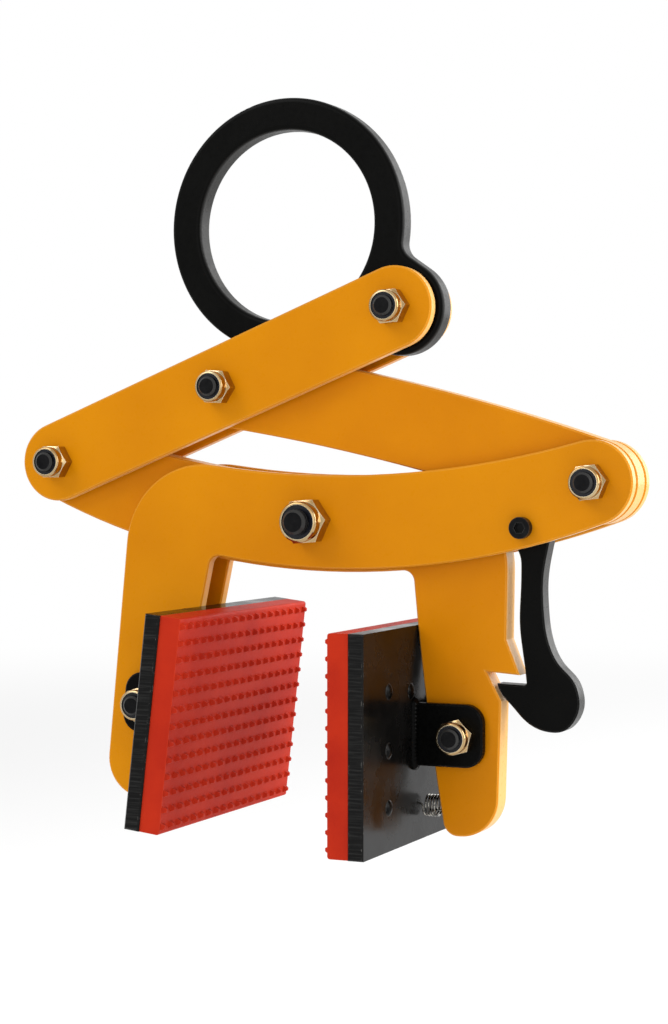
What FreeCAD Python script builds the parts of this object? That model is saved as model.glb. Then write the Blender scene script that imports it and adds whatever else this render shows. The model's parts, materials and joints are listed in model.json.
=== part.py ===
"""Scissor lifting tongs: a lifting ring, two links, two jaws, a latch and two pads.

Frame: millimetres, +Z up, +X to the latch side, +Y away from the nuts. The origin is the middle of the
lifting ring's eye. The tongs stand open, with the latch hooked under the tooth of the right jaw.
"""
import FreeCAD, Part
import math
import os
from FreeCAD import Vector

doc = FreeCAD.newDocument("lifting_tongs")

# Driving sizes, in millimetres and degrees, one row each: alias, value, what it is.
SIZES = [
    ("outer_plate_thickness", 5.0, "thickness of each outer plate of the upper link and the left jaw"),
    ("centre_plate_thickness", 10.0, "thickness of the ring, the diagonal link and the right jaw"),
    ("edge_chamfer", 0.6, "chamfer on the cut edges of the plates"),
    ("side_clearance", 0.05, "gap between a thrust washer and the centre plate it guides"),
    ("pivot_clearance", 0.05, "radial play of a bolt in a centre plate"),
    ("bolt_clearance", 0.25, "radial room of a bolt in an outer plate or a washer"),
    ("thread_clearance", 0.05, "radial gap between a bolt and its nut"),
    ("arm_length", 120.0, "main pivot to the end pivot of either jaw's arm"),
    ("right_arm_angle", 11.5, "right jaw's arm above the horizontal"),
    ("left_arm_angle", 14.3, "left jaw's arm above the horizontal before the jaw is splayed"),
    ("left_splay_angle", 6.5, "turn of the left jaw from the mirror image of the right one"),
    ("link_half_width", 16.5, "half width and end radius of the upper link"),
    ("diagonal_half_width", 16.5, "half width of the diagonal link"),
    ("diagonal_bow_height", 3.6, "rise of the diagonal link's middle over the line of its pivots"),
    ("open_pivot_clearance", 1.5, "extra radius of the diagonal link's hole at the upper link"),
    ("ring_length", 61.1, "ring pivot to the middle of the eye"),
    ("ring_clearance", 0.35, "gap between the ring and the diagonal link it leans towards"),
    ("ring_radius", 52.1, "outer radius of the lifting ring"),
    ("eye_radius", 39.0, "inner radius of the lifting ring"),
    ("ring_edge_radius", 2.0, "rounding of the ring's edges"),
    ("ear_radius", 19.0, "radius of the ring's ear round its pivot"),
    ("ear_root_angle", 21.4, "half angle of the ear's root, seen from the eye"),
    ("ear_blend_radius", 7.0, "hollow between the ring and its ear"),
    ("arm_end_radius", 16.5, "radius of a jaw arm's end"),
    ("arm_top_radius", 395.0, "radius of the jaw arm's hollow upper edge"),
    ("arm_low_radius", 325.0, "radius of the jaw arm's full lower edge"),
    ("shoulder_height", 18.0, "centre of the jaw's shoulder, below the main pivot"),
    ("leg_height", 124.7, "foot of the leg below the main pivot"),
    ("throat_height", 19.0, "inner corner of the throat, below the main pivot"),
    ("throat_radius", 4.5, "fillet of the throat's corner"),
    ("leg_bow_height", 1.2, "bow of the leg's inner edge towards the pad"),
    ("heel_radius", 16.0, "round of the foot's outer corner"),
    ("toe_radius", 6.0, "round of the foot's inner corner"),
    ("latch_gap", 3.6, "gap between the notch behind the tooth and the hook under it"),
    ("hook_thickness", 8.0, "thickness of the latch hook"),
    ("hook_clearance", 0.57, "gap between the latch's eye and the diagonal link above it"),
    ("hook_eye_radius", 8.4, "radius of the latch's eye"),
    ("hook_inner_radius", 1.0, "round in the hook's inner corner"),
    ("hook_pin_radius", 2.5, "radius of the latch's pivot screw"),
    ("hook_head_radius", 4.25, "head radius of the latch's pivot screw"),
    ("hook_head_height", 3.5, "head height of the latch's pivot screw"),
    ("hook_socket_width", 4.0, "across flats of the pivot screw's socket"),
    ("hook_flats_width", 8.0, "across flats of the latch's nut"),
    ("hook_nut_height", 5.0, "height of the latch's nut"),
    ("hook_spacer_radius", 6.5, "outer radius of the latch's spacer rings"),
    ("pad_seat_gap", 0.12, "gap between the pad's top edge and the leg it leans on"),
    ("pad_plate_thickness", 6.5, "thickness of the pad's steel plate"),
    ("rubber_thickness", 10.4, "thickness of the pad's rubber over its teeth"),
    ("pad_height", 86.4, "height of the pads"),
    ("pad_depth", 120.0, "length of the pads across the tongs"),
    ("tooth_depth", 1.6, "depth of the rubber's teeth"),
    ("tooth_land_width", 1.2, "flat top of one rubber tooth"),
    ("tooth_foot_width", 2.8, "width of one rubber tooth at its foot"),
    ("ear_thickness", 4.0, "thickness of the pad bracket's ears"),
    ("ear_height", 25.0, "height of the pad bracket's ears"),
    ("ear_length", 9.8, "pad bolt to the free end of an ear"),
    ("ear_corner_radius", 7.5, "corner radius of an ear"),
    ("ear_clearance", 0.5, "gap between an ear and the leg"),
    ("rivet_radius", 3.25, "head radius of the pad's rivets"),
    ("rivet_height", 1.2, "head height of the pad's rivets"),
    ("rivet_shank_radius", 1.5, "shank radius of the pad's rivets"),
    ("rivet_depth", 10.0, "length of the pad's rivets under the head"),
    ("rivet_clearance", 0.05, "radial gap round a rivet"),
    ("spring_radius", 4.1, "mean radius of the spring's coils"),
    ("spring_wire_diameter", 0.8, "diameter of the spring's wire"),
    ("spring_seat_gap", 0.1, "gap between a spring end and its seat"),
    ("small_bolt_radius", 4.0, "radius of the link and pad bolts"),
    ("small_flats_width", 13.0, "across flats of the link and pad bolts and nuts"),
    ("small_head_height", 5.3, "head height of the link and pad bolts"),
    ("small_nut_height", 10.0, "height of the link and pad nuts"),
    ("main_bolt_radius", 5.0, "radius of the main pivot bolt"),
    ("main_flats_width", 17.0, "across flats of the main pivot bolt and nut"),
    ("main_head_height", 6.4, "head height of the main pivot bolt"),
    ("main_nut_height", 11.5, "height of the main pivot nut"),
    ("small_end_length", 1.6, "end of a link or pad bolt past its nut"),
    ("main_end_length", 4.0, "end of the main pivot bolt past its nut"),
    ("hook_end_length", 0.6, "end of the latch's pivot screw past its nut"),
    ("washer_thickness", 1.6, "thickness of the thrust washers"),
    ("washer_radius", 8.0, "outer radius of the link pivots' thrust washers"),
    ("main_washer_radius", 10.0, "outer radius of the main pivot's thrust washers"),
    ("spacer_radius", 7.0, "outer radius of the tube between the left jaw's legs"),
    ("block_height", 16.0, "height of the spring's bearing block in the left leg"),
    ("block_length", 12.0, "length of the spring's bearing block into the leg"),
    ("weld_gap", 0.05, "gap between the bearing block or the tube and the plates"),
]
# The linkage as shares of the arm's length, and places on a jaw as shares of the arm's length across and
# of the leg's height down, measured from the main pivot.
LINK_SHARE = 0.69167
DIAGONAL_SHARE = 1.36667
JAW_ACROSS_SHARES = {"shoulder": 0.39167, "shoulder_radius": 0.29583, "throat": 0.355, "tooth": 0.7305,
                     "notch": 0.6146, "latch_flank": 0.6663, "latch_foot": 0.6533, "hook": 0.758,
                     "pad": 0.53417, "foot_inside": 0.47167, "foot_outside": 0.67333}
JAW_DOWN_SHARES = {"tooth_top": 0.36728, "tooth": 0.4775, "notch": 0.46993, "notch_end": 0.56295,
                   "pad": 0.67522, "spring": 0.911}
# Shares of the sizes above, and counts.
NUT_HEX_SHARE = 0.6
NUT_COLLAR_SHARE = 0.485
NUT_POCKET_SHARE = 0.41
NUT_LIP_SHARE = 0.9
NYLON_HEIGHT_SHARE = 0.2
HEX_CHAMFER_SHARE = 0.475
BOLT_TIP_SHARE = 0.8
SOCKET_DEPTH_SHARE = 0.5
# Pad rivets: distance from the middle as a share of the depth, height as a share of the pad's height.
RIVET_SHARES = ((0.287, 0.222), (0.287, -0.044), (0.287, -0.302), (0.098, 0.2))
# Edge of the latch from its inner corner up the stem, over the eye, down the back and round the grip to
# the hook's tip, as shares of the latch's length from its pivot.
HOOK_EDGE_SHARES = (
    (-0.012, -1.022), (-0.03, -0.87), (-0.061, -0.61), (-0.054, -0.413), (-0.051, -0.273), (-0.058, -0.19),
    (-0.098, -0.112), (-0.136, -0.05), (-0.146, 0.018), (-0.112, 0.084), (-0.06, 0.125), (0.0, 0.137),
    (0.069, 0.12), (0.12, 0.075), (0.146, 0.008), (0.138, -0.1), (0.115, -0.21), (0.097, -0.344),
    (0.1, -0.513), (0.113, -0.645), (0.157, -0.799), (0.214, -0.89), (0.299, -0.977), (0.337, -1.067),
    (0.343, -1.145), (0.31, -1.238), (0.235, -1.308), (0.148, -1.319), (0.055, -1.298), (-0.034, -1.242),
    (-0.112, -1.16), (-0.167, -1.105), (-0.213, -1.017))
TOOTH_ROWS = 13
NEAR = 1e-3
SPRING_TURNS = 4
SPRING_BEND_SHARE = 1.25
SPRING_CHECK_POINTS = 400
NUT_TURNS = {"ring": 4.0, "middle": -3.0, "left": 0.0, "main": 5.0, "right": 7.0, "pad": 16.0}

sheet = doc.addObject("Spreadsheet::Sheet", "Sizes")
for row, (alias, value, meaning) in enumerate(SIZES, start=1):
    sheet.set(f"A{row}", meaning)
    sheet.set(f"B{row}", str(value))
    sheet.setAlias(f"B{row}", alias)
doc.recompute()
size = {alias: float(sheet.get(alias)) for alias, value, meaning in SIZES}


def polar(angle, length):
    """A step in the XZ plane, angle in degrees from +X towards +Z."""
    return Vector(length * math.cos(math.radians(angle)), 0, length * math.sin(math.radians(angle)))


def meet(first, reach, second, span):
    """The upper crossing of two circles in the XZ plane."""
    line = second - first
    along = (reach ** 2 - span ** 2 + line.Length ** 2) / (2 * line.Length)
    rise = math.sqrt(reach ** 2 - along ** 2)
    unit = line.normalize()
    up = Vector(-unit.z, 0, unit.x)
    return first + unit * along + up * rise


across_at = {name: share * size["arm_length"] for name, share in JAW_ACROSS_SHARES.items()}
down_at = {name: share * size["leg_height"] for name, share in JAW_DOWN_SHARES.items()}


def bow_centre(start, end, bow):
    """Centre and radius of the arc from start to end that rises over its chord by bow."""
    way = (end - start).normalize()
    half = (end - start).Length / 2
    radius = (half ** 2 + bow ** 2) / (2 * bow)
    return (start + end) * 0.5 + Vector(-way.z, 0, way.x) * (bow - radius), radius


# Pivots of the open linkage: measured from the main pivot first, then from the eye. The ring leans
# until it is just clear of the diagonal link.
left_end = polar(180 - size["right_arm_angle"], size["arm_length"])
right_end = polar(size["left_arm_angle"] - size["left_splay_angle"], size["arm_length"])
middle = meet(left_end, LINK_SHARE * size["arm_length"], right_end, DIAGONAL_SHARE * size["arm_length"])
ring_end = left_end + (middle - left_end) * 2
bow_middle, bow_radius = bow_centre(middle, right_end, size["diagonal_bow_height"])
hook_room = bow_radius - size["diagonal_half_width"] - size["hook_eye_radius"] - size["hook_clearance"]
hook_rise = math.sqrt(hook_room ** 2 - (across_at["hook"] - bow_middle.x) ** 2)
hook_drop = -bow_middle.z - hook_rise
hook_length = down_at["notch"] + size["latch_gap"] - hook_drop
stand_off = bow_radius + size["diagonal_half_width"] + size["ring_clearance"] + size["ring_radius"]
eye = meet(bow_middle, stand_off, ring_end, size["ring_length"])
main_pivot = eye * -1
LEFT = main_pivot + left_end
RIGHT = main_pivot + right_end
MIDDLE = main_pivot + middle
RING = main_pivot + ring_end

# Faces across the stack, measured from the middle plane.
inner_face = size["centre_plate_thickness"] / 2 + size["side_clearance"] + size["washer_thickness"]
outer_face = inner_face + size["outer_plate_thickness"]


def right_side(x, z):
    """A point of the right jaw or its pad, given from the main pivot."""
    return main_pivot + Vector(x, 0, z)


def left_side(x, z):
    """The mirror image of a right jaw point, splayed about the main pivot."""
    turn = math.radians(size["left_splay_angle"])
    x = -x
    return main_pivot + Vector(x * math.cos(turn) + z * math.sin(turn), 0,
                               z * math.cos(turn) - x * math.sin(turn))


right_pad_pivot = right_side(across_at["pad"], -down_at["pad"])
left_pad_pivot = left_side(across_at["pad"], -down_at["pad"])
hook_pivot = right_side(across_at["hook"], -hook_drop)


# Outlines: lists of straight lines and arcs in the XZ plane.
def line(start, end):
    return Part.LineSegment(start, end)


def arc(start, via, end):
    return Part.Arc(start, via, end)


def turned(vector, angle):
    """A vector turned in the XZ plane, from +X towards +Z."""
    turn = math.radians(angle)
    return Vector(vector.x * math.cos(turn) - vector.z * math.sin(turn), 0,
                  vector.x * math.sin(turn) + vector.z * math.cos(turn))


def rounded(points, radii):
    """A closed outline through corner points, each rounded by its radius, zero for a sharp one."""
    ends = []
    for index, corner in enumerate(points):
        before = (points[index - 1] - corner).normalize()
        after = (points[(index + 1) % len(points)] - corner).normalize()
        half = before.getAngle(after) / 2
        back = radii[index] / math.tan(half)
        middle_way = (before + after).normalize()
        crown = corner + middle_way * (radii[index] / math.sin(half) - radii[index])
        ends.append((corner + before * back, crown, corner + after * back))
    outline = []
    for index, (start, crown, end) in enumerate(ends):
        if radii[index] > 0:
            outline.append(arc(start, crown, end))
        following = ends[(index + 1) % len(ends)][0]
        if (following - end).Length > NEAR:
            outline.append(line(end, following))
    return outline


# Sub-parts. A plate is a padded sketch in the XZ plane, with bound thickness, holes and place.
def plate(label, outline, holes, thickness, place, edge, corners=()):
    """A flat piece. holes and corners are (point, expression of the radius), place is its middle's Y."""
    body = doc.addObject("PartDesign::Body", label)
    body.Label = label
    sketch = body.newObject("Sketcher::SketchObject", label + "_outline")
    plane = [item for item in body.Origin.OriginFeatures if item.Role == "XZ_Plane"][0]
    sketch.AttachmentSupport = (plane, [""])
    sketch.MapMode = "FlatFace"
    flat = FreeCAD.Matrix(1, 0, 0, 0, 0, 0, 1, 0, 0, -1, 0, 0)
    for curve in outline:
        laid = curve.copy()
        laid.transform(flat)
        sketch.addGeometry(laid, False)
    for centre, radius in holes:
        spot = Vector(centre.x, centre.z, 0)
        index = sketch.addGeometry(Part.Circle(spot, Vector(0, 0, 1), size["small_bolt_radius"]), False)
        rule = sketch.addConstraint(sketch_radius(index))
        sketch.setExpression(f"Constraints[{rule}]", radius)
    pad = body.newObject("PartDesign::Pad", label + "_pad")
    pad.Profile = sketch
    pad.Midplane = True
    pad.setExpression("Length", thickness)
    doc.recompute()
    last = pad
    for number, (corner, radius) in enumerate(corners, start=1):
        fillet = body.newObject("PartDesign::Fillet", f"{label}_corner_{number}")
        fillet.Base = (last, corner_edges(last.Shape, corner))
        fillet.setExpression("Radius", radius)
        doc.recompute()
        last = fillet
    if edge:
        chamfer = body.newObject("PartDesign::Chamfer", label + "_edges")
        chamfer.Base = (last, rim_edges(last.Shape))
        chamfer.setExpression("Size", edge)
        last = chamfer
    body.Tip = last
    body.setExpression("Placement.Base.y", place)
    doc.recompute()
    return body


def sketch_radius(index):
    """A radius constraint on one circle of a sketch."""
    import Sketcher
    return Sketcher.Constraint("Radius", index, size["small_bolt_radius"])


def rim_edges(shape):
    """Names of the outer edges of a plate's two flat faces."""
    names = []
    for face in shape.Faces:
        if abs(face.normalAt(0, 0).y) < 0.99:
            continue
        for edge in face.OuterWire.Edges:
            names += [f"Edge{i}" for i, other in enumerate(shape.Edges, start=1) if other.isSame(edge)]
    return names


def corner_edges(shape, corner):
    """Names of the edges that run through a plate at a corner point of its outline."""
    names = []
    for index, edge in enumerate(shape.Edges, start=1):
        box = edge.BoundBox
        away = edge.CenterOfMass - corner
        if box.XLength + box.ZLength < NEAR and math.hypot(away.x, away.z) < NEAR:
            names.append(f"Edge{index}")
    return names


def piece(label, shape):
    """A piece whose shape is worked out in code from the sheet's sizes."""
    item = doc.addObject("Part::Feature", label)
    item.Label = label
    item.Shape = shape
    item.Placement = FreeCAD.Placement()
    return item


# Lifting ring: a thick cut ring with an ear that takes its pivot bolt.
def ring_outline():
    to_pivot = math.degrees(math.atan2(RING.z, RING.x))
    radius = size["ring_radius"]
    blend = size["ear_blend_radius"]
    sides = []
    for sign in (1, -1):
        root = polar(to_pivot + sign * size["ear_root_angle"], radius)
        away = root - RING
        lean = math.degrees(math.acos(size["ear_radius"] / away.Length))
        touch = RING + turned(away.normalize() * size["ear_radius"], -sign * lean)
        way = (touch - root).normalize()
        off = root + turned(way, sign * 90) * blend
        reach = -off.dot(way) + math.sqrt(off.dot(way) ** 2 - off.dot(off) + (radius + blend) ** 2)
        centre = off + way * reach
        on_ring = centre * (radius / (radius + blend))
        on_line = root + way * reach
        crown = centre + ((on_ring - centre) + (on_line - centre)).normalize() * blend
        sides.append((on_ring, crown, on_line, touch))
    upper, lower = sides
    far_end = RING + polar(to_pivot, size["ear_radius"])
    return [
        arc(upper[0], polar(to_pivot + 180, radius), lower[0]),
        arc(lower[0], lower[1], lower[2]),
        line(lower[2], lower[3]),
        arc(lower[3], far_end, upper[3]),
        line(upper[3], upper[2]),
        arc(upper[2], upper[1], upper[0]),
    ]


lifting_ring = plate("lifting_ring", ring_outline(),
                     [(RING, "Sizes.small_bolt_radius + Sizes.pivot_clearance"),
                      (Vector(0, 0, 0), "Sizes.eye_radius")],
                     "Sizes.centre_plate_thickness", "0 mm", None)
ring_pad = lifting_ring.Tip
eye_rim = []
for index, edge in enumerate(ring_pad.Shape.Edges, start=1):
    if edge.Curve.TypeId == "Part::GeomCircle" and abs(edge.Curve.Radius - size["eye_radius"]) < NEAR:
        eye_rim.append(f"Edge{index}")
ring_round = lifting_ring.newObject("PartDesign::Fillet", "lifting_ring_edges")
ring_round.Base = (ring_pad, rim_edges(ring_pad.Shape) + eye_rim)
ring_round.setExpression("Radius", "Sizes.ring_edge_radius")
lifting_ring.Tip = ring_round


# Upper link: two round-ended bars, outside everything at its three pivots.
def bar_outline(start, end, radius, bow):
    """A round-ended bar between two points, its middle line bowed up by bow."""
    way = (end - start).normalize()
    side = Vector(-way.z, 0, way.x)
    if bow == 0:
        first, last = side, side
    else:
        centre, bend = bow_centre(start, end, bow)
        first = (start - centre).normalize()
        last = (end - centre).normalize()
    out_start = start + turned(first, 90) * radius
    out_end = end + turned(last, -90) * radius
    outline = [arc(start + first * radius, out_start, start - first * radius),
               arc(end - last * radius, out_end, end + last * radius)]
    for sign in (1, -1):
        edge_start = start + first * radius * sign
        edge_end = end + last * radius * sign
        if bow == 0:
            outline.append(line(edge_start, edge_end))
        else:
            outline.append(arc(edge_start, centre + side * (bend + sign * radius), edge_end))
    return outline


half_stack = "Sizes.centre_plate_thickness / 2 + Sizes.side_clearance + Sizes.washer_thickness"
front_place = f"-({half_stack} + Sizes.outer_plate_thickness / 2)"
rear_place = f"{half_stack} + Sizes.outer_plate_thickness / 2"
bolt_hole = "Sizes.small_bolt_radius + Sizes.bolt_clearance"
main_hole = "Sizes.main_bolt_radius + Sizes.bolt_clearance"
pivot_hole = "Sizes.small_bolt_radius + Sizes.pivot_clearance"
link_outline = bar_outline(LEFT, RING, size["link_half_width"], 0)
for side, place in (("front", front_place), ("rear", rear_place)):
    plate("upper_link_" + side, link_outline, [(LEFT, bolt_hole), (MIDDLE, bolt_hole), (RING, bolt_hole)],
          "Sizes.outer_plate_thickness", place, "Sizes.edge_chamfer")

# Diagonal link: a bowed bar in the middle plane. Its hole at the upper link is the linkage's open pivot.
plate("diagonal_link",
      bar_outline(MIDDLE, RIGHT, size["diagonal_half_width"], size["diagonal_bow_height"]),
      [(MIDDLE, "Sizes.small_bolt_radius + Sizes.open_pivot_clearance"), (RIGHT, pivot_hole)],
      "Sizes.centre_plate_thickness", "0 mm", "Sizes.edge_chamfer")


# Jaws: an arm that rises to its end pivot, a round shoulder and a leg that carries the pad.
def jaw_points(arm_angle):
    """Corner and touching points of a jaw's outline, as on the right jaw, from the main pivot."""
    arm_end = polar(180 - arm_angle, size["arm_length"])
    end_radius = size["arm_end_radius"]
    shoulder = Vector(across_at["shoulder"], 0, -size["shoulder_height"])
    shoulder_radius = across_at["shoulder_radius"]
    throat = Vector(across_at["throat"], 0, -size["throat_height"])
    toe = Vector(across_at["foot_inside"], 0, -size["leg_height"])
    heel = Vector(across_at["foot_outside"], 0, -size["leg_height"])
    top = size["arm_top_radius"]
    top_centre = meet(arm_end, top + end_radius, shoulder, top + shoulder_radius)
    low = size["arm_low_radius"]
    low_centre = meet(arm_end, low - end_radius, throat, low)
    down = heel - shoulder
    lean = math.degrees(math.acos(shoulder_radius / down.Length))
    flank = shoulder + turned(down.normalize() * shoulder_radius, lean)
    top_start = arm_end + (top_centre - arm_end).normalize() * end_radius
    crown = shoulder + (top_centre - shoulder).normalize() * shoulder_radius
    low_start = arm_end + (arm_end - low_centre).normalize() * end_radius
    return {
        "tip": arm_end + polar(180 - arm_angle, end_radius), "top_start": top_start, "crown": crown,
        "top_middle": top_centre + (top_start + crown - top_centre * 2).normalize() * top,
        "cheek": shoulder + (crown + flank - shoulder * 2).normalize() * shoulder_radius,
        "flank": flank, "heel": heel, "toe": toe, "throat": throat, "low_start": low_start,
        "low_middle": low_centre + (low_start + throat - low_centre * 2).normalize() * low,
    }


def jaw_outline(side, arm_angle, latch):
    """side places a point of the right jaw, latch adds the tooth and its notch to the leg."""
    spot = jaw_points(arm_angle)
    heel = spot["heel"]
    rise = spot["flank"] - heel
    foot = Vector(across_at["latch_foot"], 0, -size["leg_height"]) if latch else heel

    def on_flank(drop):
        return heel + rise * ((size["leg_height"] - drop) / rise.z)

    inner = spot["throat"] - spot["toe"]
    inner_middle = (spot["throat"] + spot["toe"]) * 0.5
    inner_middle = inner_middle + turned(inner, 90).normalize() * size["leg_bow_height"]
    outer = [spot["flank"]]
    if latch:
        outer += [on_flank(down_at["tooth_top"]), Vector(across_at["tooth"], 0, -down_at["tooth"]),
                  Vector(across_at["notch"], 0, -down_at["notch"]),
                  Vector(across_at["latch_flank"], 0, -down_at["notch_end"])]
    outer += [foot, spot["toe"]]
    path = [(spot["low_start"], spot["tip"], spot["top_start"]),
            (spot["top_start"], spot["top_middle"], spot["crown"]),
            (spot["crown"], spot["cheek"], spot["flank"])]
    path += list(zip(outer, outer[1:]))
    path += [(spot["toe"], inner_middle, spot["throat"]),
             (spot["throat"], spot["low_middle"], spot["low_start"])]
    outline = []
    for points in path:
        placed = [side(point.x, point.z) for point in points]
        outline.append(line(*placed) if len(placed) == 2 else arc(*placed))
    return outline


def jaw_corners(side, heel):
    """Corners of a jaw that are rounded, with their radii. heel names the share of its outer corner."""
    return [(side(across_at["throat"], -size["throat_height"]), "Sizes.throat_radius"),
            (side(across_at["foot_inside"], -size["leg_height"]), "Sizes.toe_radius"),
            (side(across_at[heel], -size["leg_height"]), "Sizes.heel_radius")]


plate("right_jaw", jaw_outline(right_side, size["right_arm_angle"], True),
      [(main_pivot, "Sizes.main_bolt_radius + Sizes.pivot_clearance"), (LEFT, pivot_hole),
       (right_pad_pivot, pivot_hole)],
      "Sizes.centre_plate_thickness", "0 mm", "Sizes.edge_chamfer", jaw_corners(right_side, "latch_foot"))
left_outline = jaw_outline(left_side, size["left_arm_angle"], False)
hook_hole = "Sizes.hook_pin_radius + Sizes.bolt_clearance"
for side, place in (("front", front_place), ("rear", rear_place)):
    plate("left_jaw_" + side, left_outline,
          [(main_pivot, main_hole), (RIGHT, bolt_hole), (hook_pivot, hook_hole),
           (left_pad_pivot, pivot_hole)],
          "Sizes.outer_plate_thickness", place, "Sizes.edge_chamfer", jaw_corners(left_side, "foot_outside"))


# Latch: a black lever whose hook lies under the right jaw's tooth, with a round grip below.
def hook_outline():
    spots = [hook_pivot + Vector(x, 0, z) * hook_length for x, z in HOOK_EDGE_SHARES]
    edge = Part.BSplineCurve()
    edge.interpolate(spots)
    return [edge, line(spots[-1], spots[0])], spots[0]


hook_edge, hook_corner = hook_outline()
plate("hook_lever", hook_edge, [(hook_pivot, "Sizes.hook_pin_radius + Sizes.pivot_clearance")],
      "Sizes.hook_thickness", "0 mm", "Sizes.edge_chamfer", [(hook_corner, "Sizes.hook_inner_radius")])

# Fasteners, built about the line of a pivot. Nuts are on the front, at -Y, and heads at the back.
FRONT = Vector(0, -1, 0)
BACK = Vector(0, 1, 0)


def across(pivot, y):
    return Vector(pivot.x, y, pivot.z)


def tube(pivot, start, end, outer, inner):
    """A ring round a pivot, from one Y to another."""
    base = across(pivot, start)
    ring = Part.makeCylinder(outer, end - start, base, BACK)
    return ring.cut(Part.makeCylinder(inner, end - start, base, BACK))


def hexagon(pivot, start, end, flats, turn):
    """A six-sided bar between two Y values, chamfered at its end."""
    reach = flats / math.sqrt(3)
    corners = [across(pivot, start) + polar(60 * step + turn, reach) for step in range(7)]
    bar = Part.Face(Part.makePolygon(corners)).extrude(Vector(0, end - start, 0))
    length = abs(end - start)
    small = flats * HEX_CHAMFER_SHARE
    wide = small + length * math.sqrt(3)
    way = FRONT if end < start else BACK
    return bar.common(Part.makeCone(wide, small, length, across(pivot, start), way))


def bolt(pivot, head_face, nut_face, radius, flats, head, nut, past, turn):
    """Hex bolt with its head on head_face and its end past a nut on nut_face."""
    end = nut_face - nut - past
    tip = radius * (1 - BOLT_TIP_SHARE)
    shank = Part.makeCylinder(radius, head_face - end - tip, across(pivot, head_face), FRONT)
    cone = Part.makeCone(radius, radius - tip, tip, across(pivot, end + tip), FRONT)
    return hexagon(pivot, head_face, head_face + head, flats, turn).fuse([shank, cone]).removeSplitter()


def lock_nut(pivot, face, way, radius, flats, height, turn):
    """Hex nut with a round-lipped collar for a nylon ring. way is -1 on the front, 1 at the back."""
    onward, inward = (BACK, FRONT) if way > 0 else (FRONT, BACK)
    hex_end = face + way * height * NUT_HEX_SHARE
    end = face + way * height
    foot = across(pivot, hex_end)
    collar = Part.makeCylinder(flats * NUT_COLLAR_SHARE, abs(end - hex_end), foot, onward)
    lip_edge = max(collar.Edges, key=lambda edge: (edge.CenterOfMass - foot).dot(onward))
    wall = flats * (NUT_COLLAR_SHARE - NUT_POCKET_SHARE)
    collar = collar.makeFillet(wall * NUT_LIP_SHARE, [lip_edge])
    body = hexagon(pivot, face, hex_end, flats, turn).fuse(collar)
    bore = Part.makeCylinder(radius + size["thread_clearance"], height, across(pivot, face), onward)
    depth = height * NYLON_HEIGHT_SHARE
    pocket = Part.makeCylinder(flats * NUT_POCKET_SHARE, depth, across(pivot, end), inward)
    return body.cut(bore).cut(pocket).removeSplitter()


def nylon_ring(pivot, face, way, radius, flats, height):
    """Nylon ring in the collar of a lock nut, a little below the rim."""
    floor = face + way * height * (1 - NYLON_HEIGHT_SHARE)
    rim = floor + way * height * NYLON_HEIGHT_SHARE * BOLT_TIP_SHARE
    return tube(pivot, min(rim, floor), max(rim, floor), flats * NUT_POCKET_SHARE - size["thread_clearance"],
                radius + size["thread_clearance"])


def pivot_set(prefix, pivots, head_face, nut_face, kind):
    """Bolts, lock nuts and nylon rings for pivots given as (point, turn of the hexagons)."""
    radius, flats = size[kind + "_bolt_radius"], size[kind + "_flats_width"]
    head, nut, past = size[kind + "_head_height"], size[kind + "_nut_height"], size[kind + "_end_length"]
    bolts = [bolt(point, head_face, nut_face, radius, flats, head, nut, past, turn) for point, turn in pivots]
    nuts = [lock_nut(point, nut_face, -1, radius, flats, nut, turn) for point, turn in pivots]
    rings = [nylon_ring(point, nut_face, -1, radius, flats, nut) for point, turn in pivots]
    plural = "s" if len(pivots) > 1 else ""
    piece(prefix + "_bolt" + plural, Part.makeCompound(bolts))
    piece(prefix + "_nut" + plural, Part.makeCompound(nuts))
    piece(prefix + "_nylon_ring" + plural, Part.makeCompound(rings))


def thrust_washers(label, pivots, outer, inner):
    """A washer on each inner face of the outer plates, at every pivot."""
    washers = []
    for point in pivots:
        for start in (-inner_face, inner_face - size["washer_thickness"]):
            washers.append(tube(point, start, start + size["washer_thickness"], outer, inner))
    piece(label, Part.makeCompound(washers))


small_inner = size["small_bolt_radius"] + size["bolt_clearance"]
main_inner = size["main_bolt_radius"] + size["bolt_clearance"]
pivot_set("upper_link", [(RING, NUT_TURNS["ring"]), (MIDDLE, NUT_TURNS["middle"]), (LEFT, NUT_TURNS["left"])],
          outer_face, -outer_face, "small")
thrust_washers("upper_link_washers", [RING, MIDDLE, LEFT], size["washer_radius"], small_inner)
pivot_set("main_pivot", [(main_pivot, NUT_TURNS["main"])], outer_face, -outer_face, "main")
thrust_washers("main_pivot_washers", [main_pivot], size["main_washer_radius"], main_inner)
pivot_set("arm_end", [(RIGHT, NUT_TURNS["right"])], outer_face, -outer_face, "small")
thrust_washers("arm_end_washers", [RIGHT], size["washer_radius"], small_inner)


# Latch pivot: a socket head screw through both left jaw plates, with a spacer ring each side of the hook.
def hook_screw():
    head_end = -outer_face - size["hook_head_height"]
    length = 2 * outer_face + size["hook_nut_height"] + size["hook_end_length"]
    shank = Part.makeCylinder(size["hook_pin_radius"], length, across(hook_pivot, -outer_face), BACK)
    head_place = across(hook_pivot, head_end)
    head = Part.makeCylinder(size["hook_head_radius"], size["hook_head_height"], head_place, BACK)
    depth = size["hook_head_height"] * SOCKET_DEPTH_SHARE
    reach = size["hook_socket_width"] / math.sqrt(3)
    corners = [across(hook_pivot, head_end) + polar(60 * step, reach) for step in range(7)]
    socket = Part.Face(Part.makePolygon(corners)).extrude(Vector(0, depth, 0))
    return shank.fuse(head).cut(socket).removeSplitter()


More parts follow.
